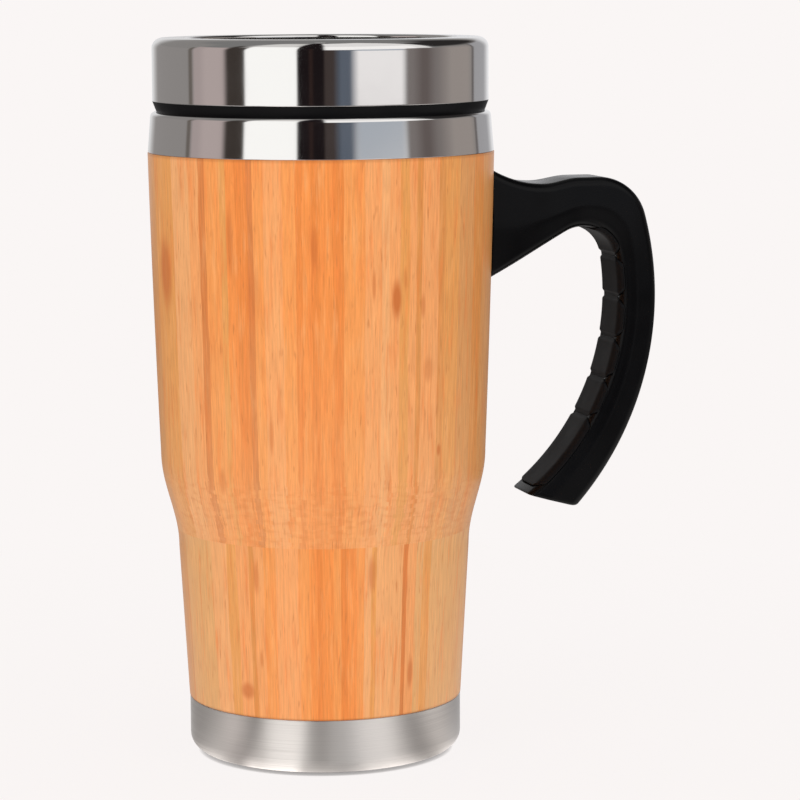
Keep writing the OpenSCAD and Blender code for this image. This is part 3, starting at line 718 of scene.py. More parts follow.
        return s.finish(s.add("BsdfPrincipled", Base_Color=wood, Roughness=gloss, IOR=1.5,
                              Specular_IOR_Level=0.12, Coat_Weight=0.5, Coat_Roughness=0.24, Coat_IOR=1.5,
                              Normal=bump))


# One finish for each of the record's slots
FINISHES = {
    Slot.POLISHED_STEEL: PolishedSteel(),
    Slot.SATIN_STEEL: SatinSteel(),
    # Deep-drawn sheet: a soft grey sheen with faint clouds
    Slot.LINER_STEEL: DrawnSteel("drawn_stainless_steel", "#D2D1CF", "#BDBCBA", 0.24, 0.25),
    # Bright zinc plating: bluish and a little duller
    Slot.SCREW_STEEL: DrawnSteel("zinc_plated_steel", "#C4C8CC", "#A9ADB2", 0.32, 0.2),
    Slot.BAMBOO: LaminatedBamboo(),
    # ABS moulded in a polished tool: nearly black, wet gloss
    Slot.HANDLE_PLASTIC: MouldedPolymer("gloss_moulded_abs", "#060607", "#08080A", 0.24, 1.4, 0.0015,
                                        1.5, 0.11),
    # Thermoplastic elastomer, moulded in an eroded tool: soft and dull
    Slot.GRIP_RUBBER: MouldedPolymer("soft_moulded_tpe", "#0C0C0E", "#111113", 0.5, 0.35, 0.02, 1.48, 0.1),
    # Polypropylene with the fine spark-eroded texture of lid mouldings
    Slot.LID_PLASTIC: MouldedPolymer("textured_polypropylene", "#08080A", "#0B0B0D", 0.4, 0.3, 0.012,
                                     1.49, 0.1),
    # ABS from a finely blasted tool: satin black
    Slot.SLIDER_PLASTIC: MouldedPolymer("satin_moulded_abs", "#101012", "#17171A", 0.3, 0.5, 0.006, 1.53),
    # Undyed polypropylene: milky, with a waxy gloss
    Slot.SPACER_PLASTIC: MouldedPolymer("natural_polypropylene", "#D8D8D2", "#C6C6C0", 0.45, 0.5, 0.01,
                                        1.49, 0.5, 0.2),
    # Pressed rubber: matt and slightly rough
    Slot.PAD_RUBBER: MouldedPolymer("non_slip_rubber", "#1A1A1A", "#242424", 0.7, 0.4, 0.03, 1.52),
    # Moulded silicone: light goes a little way in
    Slot.SILICONE: MouldedPolymer("translucent_silicone", "#D4D6D8", "#C4C7CA", 0.42, 0.6, 0.006,
                                  1.41, 0.5, 0.35),
}


class Wardrobe:
    """Makes each finish once and dresses pieces and CAD nodes with it."""

    def __init__(self) -> None:
        """Builds a material for every slot of the record."""
        self.materials = {slot: finish.build() for slot, finish in FINISHES.items()}

    def dress(self, **nodes: Slot) -> None:
        """Gives CAD nodes that stay as they are their finishes.

        Args:
            nodes: the material slot of each, by the node's name.
        """
        for name, slot in nodes.items():
            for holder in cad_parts[name].material_slots:
                holder.material = self.materials[slot]
            LOG.info("node %s wears %s", name, self.materials[slot].name)

    def piece(self, mesh: bpy.types.Mesh, body: Body, slot: Slot, *nodes: str) -> None:
        """Makes a new piece that stands for CAD nodes.

        Args:
            mesh: its mesh, in metres in the part's frame, whose name it takes.
            body: the body it rides on.
            slot: its material slot.
            nodes: the CAD nodes it replaces.
        """
        item = new_object(mesh.name, mesh)
        mesh.materials.clear()
        mesh.materials.append(self.materials[slot])
        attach(item, body.value)
        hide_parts(*nodes)
        LOG.info("piece %s on %s: %d faces", item.name, body.value, len(mesh.polygons))


# The mug's body


@dataclass
class MugBody:
    """Bamboo sleeve, collar, base and what they hold, in mm.

    A bore or spigot is its radius and the height where it ends.
    """

    base_h: float = 14.3
    waist_low_z: float = 53.0
    waist_top_z: float = 77.0
    top_z: float = 152.8
    foot_r: float = 34.7
    waist_r: float = 36.9
    shoulder_r: float = 41.2
    top_r: float = 43.5
    bow: float = 0.15
    rim_z: float = 162.8
    top_spigot: tuple[float, float] = (41.65, 161.85)
    mouth_bore: tuple[float, float] = (39.6, 146.0)
    up_bore: tuple[float, float] = (38.2, 80.0)
    low_bore: tuple[float, float] = (30.6, 59.0)
    foot_spigot: tuple[float, float] = (33.75, 4.45)
    collar_low_r: float = 43.4
    collar_top_r: float = 42.6
    collar_roll: float = 1.2
    collar_wall: float = 0.8
    collar_in_r: float = 40.45
    base_r: float = 34.6
    base_z: float = 0.5
    base_wall: float = 0.7
    base_corner: float = 4.0
    recess_r: float = 29.15
    recess_z: float = 1.3
    screw_z: tuple[float, float] = (130.15, 139.65)
    screw_hole_r: float = 2.1
    screw_run: tuple[float, float] = (30.0, 50.0)

    def sleeve_r(self, z: np.ndarray | float) -> np.ndarray:
        """Outside radius of the sleeve at a height.

        The foot is straight, the waist follows half a cosine wave, and the upper wall is a
        straight line with a parabola of the bow added.

        Args:
            z: heights in mm.

        Returns:
            The radii.
        """
        v = (z - self.base_h) / (self.waist_low_z - self.base_h)
        foot = self.foot_r + (self.waist_r - self.foot_r) * v
        wave = ease((z - self.waist_low_z) / (self.waist_top_z - self.waist_low_z))
        waist = self.waist_r + (self.shoulder_r - self.waist_r) * wave
        u = (z - self.waist_top_z) / (self.top_z - self.waist_top_z)
        wall = self.shoulder_r + (self.top_r - self.shoulder_r) * u + 4.0 * self.bow * u * (1.0 - u)
        return np.where(z < self.waist_low_z, foot, np.where(z < self.waist_top_z, waist, wall))

    def sleeve(self) -> bpy.types.Mesh:
        """Turned sleeve with its spigots, its stepped bore and the two screw holes."""
        knots = [self.base_h, self.waist_low_z, self.waist_top_z, self.top_z]
        z = np.interp(np.arange(74), [0, 13, 49, 73], knots)
        (spigot_r, spigot_z), (mouth_r, mouth_z) = self.top_spigot, self.mouth_bore
        (up_r, up_z), (low_r, low_z), (foot_r, foot_z) = self.up_bore, self.low_bore, self.foot_spigot
        corners = np.concatenate([np.stack([self.sleeve_r(z), z], axis=1), [
            [spigot_r, self.top_z], [spigot_r, spigot_z], [mouth_r, spigot_z], [mouth_r, mouth_z],
            [up_r, mouth_z], [up_r, up_z], [low_r, low_z], [low_r, foot_z], [foot_r, foot_z],
            [foot_r, self.base_h]]])
        radii = np.zeros(len(corners))
        radii[[0, z.size - 1]] = 0.35, 0.3
        mesh = lathe("bamboo_sleeve_turned", rounded(corners, radii, 4))
        return cut_away(mesh, [rod(self.screw_hole_r, *self.screw_run, z_hole) for z_hole in self.screw_z])

    def collar(self) -> bpy.types.Mesh:
        """Steel band that draws in towards its rolled top edge."""
        wall, roll, under_z = self.collar_wall, self.collar_roll, self.rim_z - self.collar_wall
        corners = [[self.collar_low_r, self.top_z], [self.collar_top_r, self.rim_z],
                   [self.collar_in_r, self.rim_z], [self.collar_in_r, under_z],
                   [self.collar_top_r - wall, under_z], [self.collar_low_r - wall, self.top_z]]
        return lathe("rim_collar_spun", rounded(corners, [0.12, roll, 0.15, 0.15, roll - wall, 0.12], 8))

    def base(self) -> bpy.types.Mesh:
        """Steel cup round the foot, with the pad's recess underneath."""
        wall, out_r, low, high = self.base_wall, self.base_r, self.base_z, self.base_h
        in_r, in_z = self.recess_r, self.recess_z
        corners = [[in_r, in_z], [in_r, low], [out_r, low], [out_r, high], [out_r - wall, high],
                   [out_r - wall, low + wall], [in_r + wall, low + wall], [in_r + wall, in_z + wall]]
        radii = [0.3, 0.3, self.base_corner, 0.15, 0.15, self.base_corner - wall, 0.2, 0.2]
        return lathe("base_cup_spun", np.concatenate([[[0.0, in_z]], rounded(corners, radii, 8),
                                                      [[0.0, in_z + wall]]]))

    def build(self, wardrobe: Wardrobe) -> None:
        """Makes the body's pieces and dresses what it keeps from the CAD model."""
        wardrobe.piece(self.sleeve(), Body.MUG, Slot.BAMBOO, "bamboo_sleeve")
        wardrobe.piece(self.collar(), Body.MUG, Slot.POLISHED_STEEL, "rim_collar")
        wardrobe.piece(self.base(), Body.MUG, Slot.SATIN_STEEL, "base_cup")
        wardrobe.dress(inner_liner=Slot.LINER_STEEL, base_pad=Slot.PAD_RUBBER,
                       liner_spacer=Slot.SPACER_PLASTIC)


# Handle and grip strip


def along(angle: np.ndarray | float) -> np.ndarray:
    """Unit vectors in the XZ plane at these angles in radians."""
    return np.stack([np.cos(angle), np.sin(angle)], axis=-1)


def angle_to(vector: np.ndarray) -> float:
    """Direction of a vector in the XZ plane, in radians."""
    return math.atan2(vector[1], vector[0])


def crossing(start: np.ndarray, angle: np.ndarray | float, centre: np.ndarray, radius: float,
             side: float = 1.0) -> np.ndarray:
    """Points where rays from a point cross a circle.

    With m the length of the centre's shadow on the ray, the distance is
    m + side * sqrt(radius^2 - |centre - start|^2 + m^2).

    Args:
        start: the point.
        angle: directions of the rays in radians.
        centre: centre of the circle.
        radius: its radius.
        side: 1 where they leave it, -1 where they enter it.

    Returns:
        One (x, z) point a row.
    """
    way = along(angle)
    gap = centre - start
    m = way @ gap
    return start + way * (m + side * np.sqrt(radius ** 2 - gap @ gap + m ** 2))[..., None]


def inside_centre(centre: np.ndarray, radius: float, small_r: float, z: float) -> np.ndarray:
    """Centre, at a height, of a small circle that touches a large one from inside."""
    return np.array([centre[0] + math.sqrt((radius - small_r) ** 2 - (z - centre[1]) ** 2), z])


def in_planes(start: np.ndarray, way: np.ndarray, run: np.ndarray, y: np.ndarray) -> np.ndarray:
    """Rings of points, each in the plane of Y and its own way in XZ: start + run * way, at y.

    Args:
        start: (x, z) of each ring's start.
        way: unit vector of each ring.
        run: distance of each point from the start, one ring a row.
        y: the points' y.

    Returns:
        Points of shape (rings, points in a ring, 3).
    """
    flat = start[:, None] + way[:, None] * run[..., None]
    return np.stack([flat[..., 0], y, flat[..., 1]], axis=-1)


@dataclass
class Handle:
    """Open handle lofted along tangent arcs, and the soft lobed strip on its inner side, in mm."""

    body: MugBody
    reach: float = 87.1
    crest_z: float = 145.0
    belly_drop: float = 30.8
    handle_h: float = 85.0
    tip_draw: float = 21.4
    grip_depth: float = 9.8
    tip_depth: float = 19.0
    grip_w: float = 17.0
    root_w: float = 23.0
    root_in: float = 1.5
    arm_h: float = 12.6
    bend_out_r: float = 13.0
    bend_in_r: float = 9.4
    crest_run: float = 5.0
    dip_out: float = 13.8
    dip_drop: float = 1.3
    flare_r: float = 29.0
    root_drop: float = 24.0
    edge: float = 2.5
    crown: float = 0.5
    crown_share: float = 0.42
    crown_blend: float = 0.08
    tip_slope: float = 15.5
    tip_round: float = 0.9
    tip_edge_loss: float = 0.6
    lobes: int = 5
    lobe_len: float = 10.7
    last_lobe_len: float = 23.0
    lobe_run: float = 5.3
    lobe_draw: float = 5.0
    lobe_lap: float = 0.2
    seat_depth: float = 1.0
    seat_gap: float = 0.05
    seat_clear: float = 3.0
    proud: float = 0.45
    groove_r: float = 1.8
    groove_depth: float = 0.4
    pad_edge: float = 0.5
    pad_edge_fall: float = 0.7
    pad_least: float = 0.25
    bore_r: float = 2.0
    screw_end_x: float = 51.74

    def __post_init__(self) -> None:
        """Works out the arcs: radius = (draw^2 + run^2) / (2 draw), and the centres from tangency."""
        self.belly_z = self.crest_z - self.belly_drop
        self.tip_z = self.crest_z - self.handle_h
        run = self.belly_z - self.tip_z
        in_draw = self.tip_draw + self.tip_depth - self.grip_depth
        self.out_r, self.in_r = ((draw ** 2 + run ** 2) / (2.0 * draw) for draw in (self.tip_draw, in_draw))
        self.out_c = np.array([self.reach - self.out_r, self.belly_z])
        self.in_c = np.array([self.reach - self.grip_depth - self.in_r, self.belly_z])
        bend_z = self.crest_z - self.bend_out_r
        arch_z = self.crest_z - self.arm_h - self.bend_in_r
        self.bend_out_c = inside_centre(self.out_c, self.out_r, self.bend_out_r, bend_z)
        self.bend_in_c = inside_centre(self.in_c, self.in_r, self.bend_in_r, arch_z)
        self.side_r = float(self.body.sleeve_r(self.crest_z - self.root_drop / 2.0))
        self.dip_x = self.side_r + self.dip_out
        self.join_a = angle_to(self.bend_in_c - self.in_c)
        gap = self.bend_in_c - [self.side_r, self.crest_z - self.root_drop]
        self.under_a = angle_to(gap) + math.asin(self.bend_in_r / np.linalg.norm(gap))
        self.under_point = self.bend_in_c + self.bend_in_r * along(self.under_a + math.pi / 2.0)

    def under_z(self, x: np.ndarray) -> np.ndarray:
        """Height of the arm's underside at x: the arc under the bend, then a straight run."""
        arc = self.bend_in_c[1] + np.sqrt(np.maximum(self.bend_in_r ** 2 - (x - self.bend_in_c[0]) ** 2, 0.0))
        line = self.under_point[1] + (x - self.under_point[0]) * math.tan(self.under_a)
        return np.where(x > self.under_point[0], arc, line)

    def top_z_at(self, x: np.ndarray) -> np.ndarray:
        """Height of the arm's top edge at x: level, half a cosine wave to the dip, an arc to the root."""
        start = self.bend_out_c[0] - self.crest_run
        drop = self.dip_drop * ease(np.clip((start - x) / (start - self.dip_x), 0.0, 1.0))
        rise = self.flare_r - np.sqrt(self.flare_r ** 2 - np.maximum(self.dip_x - x, 0.0) ** 2)
        return self.crest_z - drop + rise

    def stations(self) -> tuple[np.ndarray, np.ndarray, np.ndarray]:
        """Stations of the loft from the tip to the root.

        The grip's two edges run along their own arcs, so the stations turn evenly from the
        slanted end face to the bend; in the bend they are rays from its inner centre; along the
        arm both edges are stepped in x.

        Returns:
            Inner points, outer points, and how far each section is drawn in for the rounded tip.
        """
        drop = self.tip_z - self.belly_z
        corner = self.out_c + [math.sqrt(self.out_r ** 2 - drop ** 2), drop]
        inner_tip = crossing(corner, math.radians(180.0 - self.tip_slope), self.in_c, self.in_r, -1.0)
        in_from, out_from = angle_to(inner_tip - self.in_c), angle_to(corner - self.out_c)
        out_to = angle_to(crossing(self.in_c, self.join_a, self.out_c, self.out_r) - self.out_c)
        start = self.tip_round / (self.in_r * (self.join_a - in_from))
        phi = np.linspace(np.pi / 2.0, 0.0, 7)
        u = np.concatenate([start * (1.0 - np.sin(phi)), np.linspace(start, 1.0, 90)[1:]])
        inner = [self.in_c + self.in_r * along(in_from + (self.join_a - in_from) * u)]
        outer = [self.out_c + self.out_r * along(out_from + (out_to - out_from) * u)]

        bend_point = self.out_c + self.out_r * along(angle_to(self.bend_out_c - self.out_c))
        crest = self.bend_out_c + [0.0, self.bend_out_r]
        from_a = angle_to(bend_point - self.bend_in_c)
        a = np.linspace(self.join_a, angle_to(crest - self.bend_in_c), 61)[1:]
        inner.append(self.bend_in_c + self.bend_in_r * along(a))
        on_grip = crossing(self.bend_in_c, np.minimum(a, from_a), self.out_c, self.out_r)
        on_bend = crossing(self.bend_in_c, np.maximum(a, from_a), self.bend_out_c, self.bend_out_r)
        outer.append(np.where((a < from_a)[:, None], on_grip, on_bend))

        end_x = self.body.up_bore[0] + self.root_in
        in_x, out_x = (np.linspace(x, end_x, 41)[1:] for x in (inner[1][-1, 0], crest[0]))
        inner.append(np.stack([in_x, self.under_z(in_x)], axis=1))
        outer.append(np.stack([out_x, self.top_z_at(out_x)], axis=1))
        inner, outer = np.concatenate(inner), np.concatenate(outer)
        inset = np.zeros(len(inner))
        inset[:phi.size] = self.tip_round * (1.0 - np.cos(phi))
        return inner, outer, inset

    def sections(self, inner: np.ndarray, outer: np.ndarray, inset: np.ndarray) -> np.ndarray:
        """Section rings of the loft.

        A ring is a rectangle with round corners, as deep as its station and as wide as the
        grip, widening to the root by half a cosine wave. Its sides stand out by the crown at
        the crown's share of the depth, falling off as sqrt(t^2 + blend^2).

        Args:
            inner: station points on the inner edge.
            outer: station points on the outer edge.
            inset: how far each ring is drawn in.

        Returns:
            Points of shape (stations, ring points, 3).
        """
        depth = np.linalg.norm(outer - inner, axis=1)[:, None]
        mid = (inner + outer) / 2.0
        u = np.clip((self.bend_in_c[0] - mid[:, 0]) / (self.bend_in_c[0] - self.side_r), 0.0, 1.0)
        u = np.where(mid[:, 1] < self.belly_z, 0.0, u)
        pull = inset[:, None]
        half_w = (self.grip_w + (self.root_w - self.grip_w) * ease(u))[:, None] / 2.0 - pull
        e = self.edge - self.tip_edge_loss * pull
        low, high, side = pull + e, depth - pull - e, half_w - self.crown - e
        flat = high + (low - high) * np.linspace(0.0, 1.0, 14)[1:-1]
        crest, blend = depth * self.crown_share, self.crown_blend
        t = np.abs(flat - crest) / np.where(flat > crest, high - crest, crest - low)
        fall = (np.sqrt(t ** 2 + blend ** 2) - blend) / (math.sqrt(1.0 + blend ** 2) - blend)
        a = np.linspace(0.0, np.pi / 2.0, 9)
        s = np.concatenate([high + e * np.cos(a), flat, low - e * np.sin(a)], axis=1)
        y = np.concatenate([side + e * np.sin(a), half_w - self.crown * fall, side + e * np.cos(a)], axis=1)
        return in_planes(inner, (outer - inner) / depth, np.concatenate([s, s[:, ::-1]], axis=1),
                         np.concatenate([y, -y[:, ::-1]], axis=1))

    def sleeve_room(self) -> bpy.types.Mesh:
        """The sleeve's outside, grown by the seat's gap: the space that the handle's root leaves free."""
        z = np.linspace(self.body.waist_top_z, self.body.top_z, 60)
        wall = np.stack([self.body.sleeve_r(z) + self.seat_gap, z], axis=1)
        return lathe("room", np.concatenate([[[0.0, z[0]]], wall, [[0.0, z[-1]]]]), 288)

    def moulding(self) -> bpy.types.Mesh:
        """The lofted handle, its root shaped to the sleeve, with the strip's seat and screw bores."""
        rings = self.sections(*self.stations())
        mesh = skin("handle_moulded", rings, rings[[0, -1]].mean(axis=1))
        bores = [rod(self.bore_r, self.body.screw_run[0], self.screw_end_x, z) for z in self.body.screw_z]
        return cut_away(mesh, [self.sleeve_room(), self.strip("seat", self.seat_gap), *bores])

    def strip(self, name: str, grow: float) -> bpy.types.Mesh:
        """The lobed strip, or the seat that takes it.

        Along the strip, a lobe's end is a quarter of an ellipse: the half width at distance d
        from it is W - draw * (1 - sqrt(1 - (1 - d / run)^2)). Across it, the height over
        the back falls by the handle's own edge radius at the sides and by a small round at the
        lobes' outline, and shallow grooves cross it between the lobes.

        Args:
            name: name of the mesh.
            grow: how much wider, longer and deeper than the strip it is; over zero makes a seat.

        Returns:
            The mesh.
        """
        seat = grow > 0.0
        full_w = self.grip_w / 2.0 + self.proud - self.crown
        corner = self.edge + self.proud
        back = self.seat_depth - (0.0 if seat else self.seat_gap)
        depth = back + self.proud
        lengths = np.array([self.lobe_len] * self.lobes + [self.last_lobe_len])
        ends = np.concatenate([[0.0], np.cumsum(lengths)])
        shares = ease(np.linspace(0.0, 1.0, 45))
        shares[[0, -1]] = 0.001, 0.999
        t = (ends[:-1, None] + lengths[:, None] * shares).reshape(-1, 1)
        near = (lengths[:, None] * np.minimum(shares, 1.0 - shares)).reshape(-1, 1) + self.lobe_lap / 2.0
        d = np.clip((near + grow) / self.lobe_run, 0.0, 1.0)
        width = full_w - self.lobe_draw * (1.0 - np.sqrt(1.0 - (1.0 - d) ** 2))
        width = np.minimum(width, full_w - corner + math.sqrt(corner ** 2 - (corner - depth) ** 2)) + grow

        y = np.sin(np.linspace(-np.pi / 2.0, np.pi / 2.0, 41)) * width
        height = np.full_like(y, depth + self.seat_clear)
        if not seat:
            over = np.clip(np.abs(y) - (full_w - corner), 0.0, corner - 1e-6)
            to_edge = np.clip(np.minimum(width - np.abs(y), near), 0.0, self.pad_edge)
            soft = self.pad_edge - np.sqrt(self.pad_edge ** 2 - (self.pad_edge - to_edge) ** 2)
            off = np.min(np.abs(t - ends[1:-1]), axis=1, keepdims=True)
            bar = np.sqrt(np.maximum(self.groove_r ** 2 - off ** 2, 0.0))
            groove = bar - self.groove_r + self.groove_depth
            height = depth - corner + np.sqrt(corner ** 2 - over ** 2) - self.pad_edge_fall * soft
            height = np.maximum(height - np.maximum(groove, 0.0), self.pad_least)

        on_bend = t < self.lobe_len
        radius = np.where(on_bend, self.bend_in_r, self.in_r)
        turn = (self.join_a + (self.lobe_len - t) / radius)[:, 0]
        run = radius + back - np.concatenate([height, np.zeros_like(height)], axis=1)
        rings = in_planes(np.where(on_bend, self.bend_in_c, self.in_c), along(turn), run,
                          np.concatenate([y, y[:, ::-1]], axis=1))
        return skin(name, rings, rings[[0, -1]].mean(axis=1), 50.0)

    def build(self, wardrobe: Wardrobe) -> None:
        """Makes the handle and its strip, and dresses what fixes them."""
        wardrobe.piece(self.moulding(), Body.MUG, Slot.HANDLE_PLASTIC, "handle")
        wardrobe.piece(self.strip("grip_strip_soft", 0.0), Body.MUG, Slot.GRIP_RUBBER, "grip_pad")
        wardrobe.dress(handle_plate=Slot.LINER_STEEL, handle_screws=Slot.SCREW_STEEL)


# Lid and slider


@dataclass
class Lid:
    """Steel cover, moulded core, seal and slider, in mm."""

    band_z: float = 165.4
    top_z: float = 181.2
    radius: float = 42.1
    edge: float = 2.6
    wall: float = 0.7
    hem_in_r: float = 33.85
    hem_h: float = 3.0

    def cover(self) -> bpy.types.Mesh:
        """Steel shell with a rounded top edge and a hem turned down into the dish."""
        in_r, in_top = self.radius - self.wall, self.top_z - self.wall
        hem_r, hem_z = self.hem_in_r + self.wall, self.top_z - self.hem_h
        corners = [[self.radius, self.band_z], [self.radius, self.top_z], [self.hem_in_r, self.top_z],
                   [self.hem_in_r, hem_z], [hem_r, hem_z], [hem_r, in_top], [in_r, in_top],
                   [in_r, self.band_z]]
        radii = [0.2, self.edge, 0.65, 0.2, 0.2, 0.05, self.edge - self.wall, 0.2]
        return lathe("lid_cover_spun", rounded(corners, radii, 10))

    def build(self, wardrobe: Wardrobe) -> None:
        """Makes the cover and dresses the lid's and the slider's other pieces."""
        wardrobe.piece(self.cover(), Body.LID, Slot.POLISHED_STEEL, "lid_cover")
        wardrobe.dress(lid_core=Slot.LID_PLASTIC, lid_seal=Slot.SILICONE, slider=Slot.SLIDER_PLASTIC,
                       slider_seal=Slot.SILICONE)


# Studio


@dataclass(frozen=True)
class Card:
    """A light or dark card round the mug, by direction from the camera's side and by elevation."""

    name: str
    from_deg: float
    to_deg: float
    low_deg: float
    high_deg: float
    tone: tuple[float, float, float]
    soft_deg: float = 1.5


@dataclass(frozen=True)
class Lamp:
    """A soft area lamp that looks at the mug, by direction from the camera's side, in metres."""

    name: str
    turn_deg: float
    height: float
    watts: float
    distance: float = 1.2
    size: float = 0.8


CARDS = [
    Card("upper_left", -181, -92, 13, 46, (0.30, 0.29, 0.285), 8.0),
    Card("upper_right", 92, 181, 11, 34, (0.28, 0.265, 0.26), 8.0),
    Card("left_side", -181, -97, -9, 14, (0.33, 0.315, 0.31), 3.0),
    Card("left_far", -181, -153, -9, 20, (0.80, 0.80, 0.81), 16.0),
    Card("left_gap", -99.5, -95.5, -9, 20, (0.17, 0.15, 0.135)),
    Card("left_screen", -95, -65, -9, 26, (0.48, 0.41, 0.405), 3.0),
    Card("left_screen_edge", -86, -68, -9, 22, (0.55, 0.47, 0.46), 6.0),
    Card("left_flag", -66.5, -51.5, -9, 44, (0.055, 0.045, 0.04), 4.0),
    Card("left_spill", -56, -15.2, 30, 74, (0.84, 0.83, 0.82), 12.0),
    Card("left_softbox", -51.5, -15.2, -9, 38, (1.30, 1.31, 1.30)),
    Card("camera_side", -15.2, 23.5, -9, 84, (0.014, 0.010, 0.011)),
    Card("camera_wood", -7.5, -5, -9, 20, (0.034, 0.020, 0.018)),
    Card("camera_rail", 2.5, 11.5, -9, 10, (0.065, 0.050, 0.047)),
    Card("camera_edge", 11, 26, -9, 10, (0.13, 0.155, 0.20), 5.0),
    Card("right_softbox_high", 3, 82, 10, 78, (0.98, 0.97, 0.97), 3.0),
    Card("right_top_edge", 3, 70, 10, 40, (1.22, 1.21, 1.21), 3.0),
    Card("right_softbox", 22.5, 58.5, -9, 5, (1.12, 1.10, 1.11), 6.0),
    Card("right_window", 24, 57, 3, 12, (0.50, 0.55, 0.62), 5.0),
    Card("right_low_flag", 16, 74, -9, -3.3, (0.03, 0.03, 0.03), 0.8),
    Card("right_screen", 59.5, 96, -9, 14, (0.24, 0.215, 0.21), 3.0),
    Card("right_screen_dark", 68, 80, -9, 14, (0.155, 0.13, 0.125), 8.0),
    Card("right_flag_high", 84, 152, 22, 56, (0.03, 0.028, 0.028), 9.0),
    Card("right_side", 92, 125, -9, 14, (0.385, 0.345, 0.325), 14.0),
    Card("right_gap", 124, 127.5, -9, 20, (0.17, 0.155, 0.155)),
    Card("right_back", 127.5, 181, -9, 20, (0.42, 0.42, 0.44), 2.0),
    Card("right_far", 154, 181, -9, 20, (0.85, 0.85, 0.87), 14.0),
]
LAMPS = [Lamp("key", -38.0, 0.75, 5.0), Lamp("fill", 42.0, 0.6, 3.0)]

# Light painted into the table's glow in the base's reflections, by direction from the camera's side
# in degrees: its brighter bands are painted pools of softbox light
PAINTED_TABLE_BANDS = [
    (-180, 1.0), (-150, 0.62), (-115, 0.60), (-100, 0.62), (-90, 0.72), (-82, 0.96), (-73, 1.24), (-64, 1.44),
    (-57, 1.30), (-50, 0.76), (-43, 0.60), (-36, 1.86), (-15, 1.90), (-10, 0.94), (-3, 0.88), (9, 0.66),
    (15, 0.88), (21, 1.32), (34, 1.70), (42, 1.48), (49, 0.86), (56, 0.58), (63, 0.86), (71, 1.44),
    (80, 1.54), (91, 1.32), (103, 0.98), (118, 0.62), (150, 0.62), (180, 1.0),
]


def aimed(turn_deg: float, place: tuple[float, float, float], down_deg: float, yaw_deg: float = 0.0,
          roll_deg: float = 0.0) -> Matrix:
    """Stands a camera or a lamp in front of the mug and turns both about the mug's axis.

    Args:
        turn_deg: direction from the camera's side, positive to the right.
        place: its place in metres before that turn, in front of the mug.
        down_deg: how far it looks down.
        yaw_deg: how far it looks to the right.
        roll_deg: its roll.

    Returns:
        Its matrix: spin * place * yaw * tilt * roll.
    """
    spin, yaw, tilt, roll = (Matrix.Rotation(math.radians(angle), 4, axis) for angle, axis in (
        (CAMERA_TURN + turn_deg, "Z"), (-yaw_deg, "Z"), (90.0 - down_deg, "X"), (roll_deg, "Z")))
    return spin @ Matrix.Translation(Vector(place)) @ yaw @ tilt @ roll


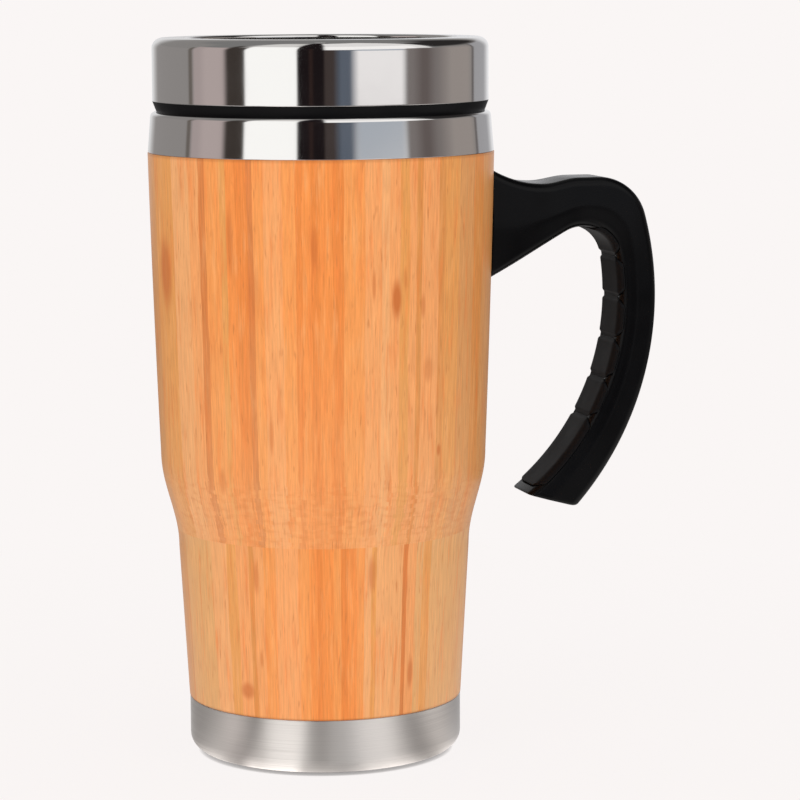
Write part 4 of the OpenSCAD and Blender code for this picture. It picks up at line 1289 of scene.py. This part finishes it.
@dataclass
class Studio:
    """Camera, floor, lamps and the ring of cards that the steel reflects."""

    backdrop: str = "#FAF6F5"
    floor_tone: str = "#EFEBE9"
    painted_contact_shade: Colour = (0.16, 0.15, 0.147, 1.0)
    air: Colour = (1.0, 0.99, 0.98, 1.0)
    air_light: float = 0.80
    eye: tuple[float, float, float] = (0.0, -0.8, 0.196)
    pitch_deg: float = 7.59
    yaw_deg: float = 1.40
    roll_deg: float = -0.27
    lens_mm: float = 142.97
    ring_r: float = 1.5
    ring_z: float = 0.17
    dark_air: float = 0.24
    floor_half: float = 6.0
    floor_z: float = -0.0001
    painted_shadow_reach: float = 0.0011
    table_far: Colour = (0.26, 0.26, 0.265, 1.0)
    lamp_target_z: float = 0.09

    def camera(self) -> None:
        """Sets the camera at the photo's angle."""
        data = bpy.data.cameras.new("camera")
        data.lens = self.lens_mm
        data.clip_start, data.clip_end = 0.02, 60.0
        item = new_object("camera", data)
        item.matrix_world = aimed(0.0, self.eye, self.pitch_deg, self.yaw_deg, self.roll_deg)
        bpy.context.scene.camera = item

    def world(self) -> None:
        """Pale backdrop for what the eye and reflections see, plain soft light for the rest."""
        s = Shader("studio_air", world=True)
        path = s.add("LightPath").outputs
        either = s.add("Math", path["Is Camera Ray"], path["Is Glossy Ray"], operation="MAXIMUM")
        any_of = s.add("Math", either, path["Is Transmission Ray"], operation="MAXIMUM")
        seen = s.add("Background", to_linear(self.backdrop))
        bpy.context.scene.world = s.finish(
            s.add("MixShader", any_of, s.add("Background", self.air, self.air_light), seen))

    def floor(self) -> None:
        """Pale floor with a faint shadow where the mug stands, running out into the backdrop.

        To the eye it is mostly a glow in the backdrop's colour, and that shadow is painted into the glow by
        ambient occlusion; a small share near the mug is a plain diffuse floor with its real shadow. In the
        steel's reflections it glows by direction, with bands of painted light, and fades away from the mug.
        """
        s = Shader("studio_floor")
        path = s.add("LightPath").outputs
        place = s.add("TexCoord").outputs["Object"]
        x, y, _ = s.add("SeparateXYZ", place).outputs
        reach = s.add("VectorMath", place, operation="LENGTH").outputs["Value"]
        plain = s.add("BsdfDiffuse", to_linear(self.floor_tone))
        # Painted shadow: ambient occlusion darkens the floor's glow to a dark tone next to the mug
        painted_shadow_mask = s.add("AmbientOcclusion", Distance=self.painted_shadow_reach, samples=8).outputs["AO"]
        lit = s.add("Emission", s.add("MixRGB", painted_shadow_mask, self.painted_contact_shade, to_linear(self.backdrop)))
        seen = s.add("MixShader", s.add("MapRange", reach, 0.05, 0.30, 0.94, 1.0), plain, lit)
        # Painted light for glossy rays: the table glows in bands by direction, and the glow falls to a darker
        # tone away from the mug
        turn = s.add("Math", x, s.add("Math", y, -1.0, operation="MULTIPLY"), operation="ARCTAN2")
        lap = s.add("Math", turn, 0.5 / math.pi, 0.5 - CAMERA_TURN / 360.0, operation="MULTIPLY_ADD")
        painted_bands = s.add("ValToRGB", s.add("Math", lap, operation="FRACT"))
        set_stops(painted_bands, [(turned / 360.0 + 0.5, (glow, 0.96 * glow, 0.94 * glow, 1.0))
                          for turned, glow in PAINTED_TABLE_BANDS])
        fade = s.add("MapRange", reach, 0.12, 0.45)
        painted_table_glow = s.add("Emission", s.add("MixRGB", fade, painted_bands, self.table_far, blend_type="MULTIPLY"))
        table = s.add("MixShader", path["Is Glossy Ray"], plain, painted_table_glow)
        mesh = bpy.data.meshes.new("floor")
        corners = [(i * self.floor_half, j * self.floor_half, self.floor_z)
                   for i, j in ((-1, -1), (1, -1), (1, 1), (-1, 1))]
        mesh.from_pydata(corners, [], [(0, 1, 2, 3)])
        mesh.materials.append(s.finish(s.add("MixShader", path["Is Camera Ray"], table, seen)))
        new_object("floor", mesh)

    def cards(self) -> None:
        """The ring of cards, one dome whose glow is set for each direction and elevation.

        Each card covers its directions and elevations with soft edges: the product of four
        ramps, each clipped to 0..1, mixes its tone over the cards before it. The dome is seen
        by reflections alone.
        """
        level = np.concatenate([np.arange(-12.0, 20.0, 0.5), np.arange(20.0, 90.0, 2.0)])
        b, e = np.meshgrid(np.linspace(-180.0, 180.0, 1080, endpoint=False), level)
        glow = np.full((*b.shape, 3), self.dark_air)
        for card in CARDS:
            gaps = np.stack([b - card.from_deg, card.to_deg - b, e - card.low_deg, card.high_deg - e])
            mask = np.clip(gaps / card.soft_deg + 0.5, 0.0, 1.0).prod(axis=0)
            glow += (np.array(card.tone) - glow) * mask[..., None]
        turn, rise = np.radians(b + CAMERA_TURN), np.radians(e)
        points = np.stack([np.sin(turn) * np.cos(rise), -np.cos(turn) * np.cos(rise), np.sin(rise)], axis=-1)
        points = (points * self.ring_r + [0.0, 0.0, self.ring_z]).reshape(-1, 3)
        mesh = bpy.data.meshes.new("card_ring")
        mesh.from_pydata(points.tolist(), [], grid_quads(*b.shape).tolist())
        rgba = np.concatenate([glow, np.ones((*b.shape, 1))], axis=-1).astype(np.float32)
        mesh.color_attributes.new("glow", "FLOAT_COLOR", "POINT").data.foreach_set("color", rgba.reshape(-1))
        s = Shader("card_glow")
        light = s.add("Attribute", attribute_name="glow", attribute_type="GEOMETRY")
        mesh.materials.append(s.finish(s.add("Emission", light)))
        item = new_object("card_ring", mesh)
        item.visible_camera = item.visible_diffuse = item.visible_shadow = False
        item.visible_transmission = item.visible_volume_scatter = False

    def lamp(self, lamp: Lamp) -> None:
        """Adds a lamp that no reflection shows.

        Args:
            lamp: its place, size and power.
        """
        data = bpy.data.lights.new(lamp.name, "AREA")
        data.size, data.energy = lamp.size, lamp.watts
        item = new_object(lamp.name, data)
        item.visible_glossy = item.visible_camera = False
        down = math.degrees(math.atan2(lamp.height - self.lamp_target_z, lamp.distance))
        item.matrix_world = aimed(lamp.turn_deg, (0.0, -lamp.distance, lamp.height), down)

    def build(self) -> None:
        """Sets up the whole studio."""
        self.camera()
        self.world()
        self.floor()
        self.cards()
        for lamp in LAMPS:
            self.lamp(lamp)
        bpy.context.scene.view_settings.view_transform = "Standard"


def main() -> None:
    """Builds the studio and the mug, piece by piece."""
    logging.basicConfig(level=logging.INFO, format="%(message)s")
    Studio().build()
    wardrobe = Wardrobe()
    body = MugBody()
    body.build(wardrobe)
    Handle(body).build(wardrobe)
    Lid().build(wardrobe)


if __name__ == "__main__":
    main()
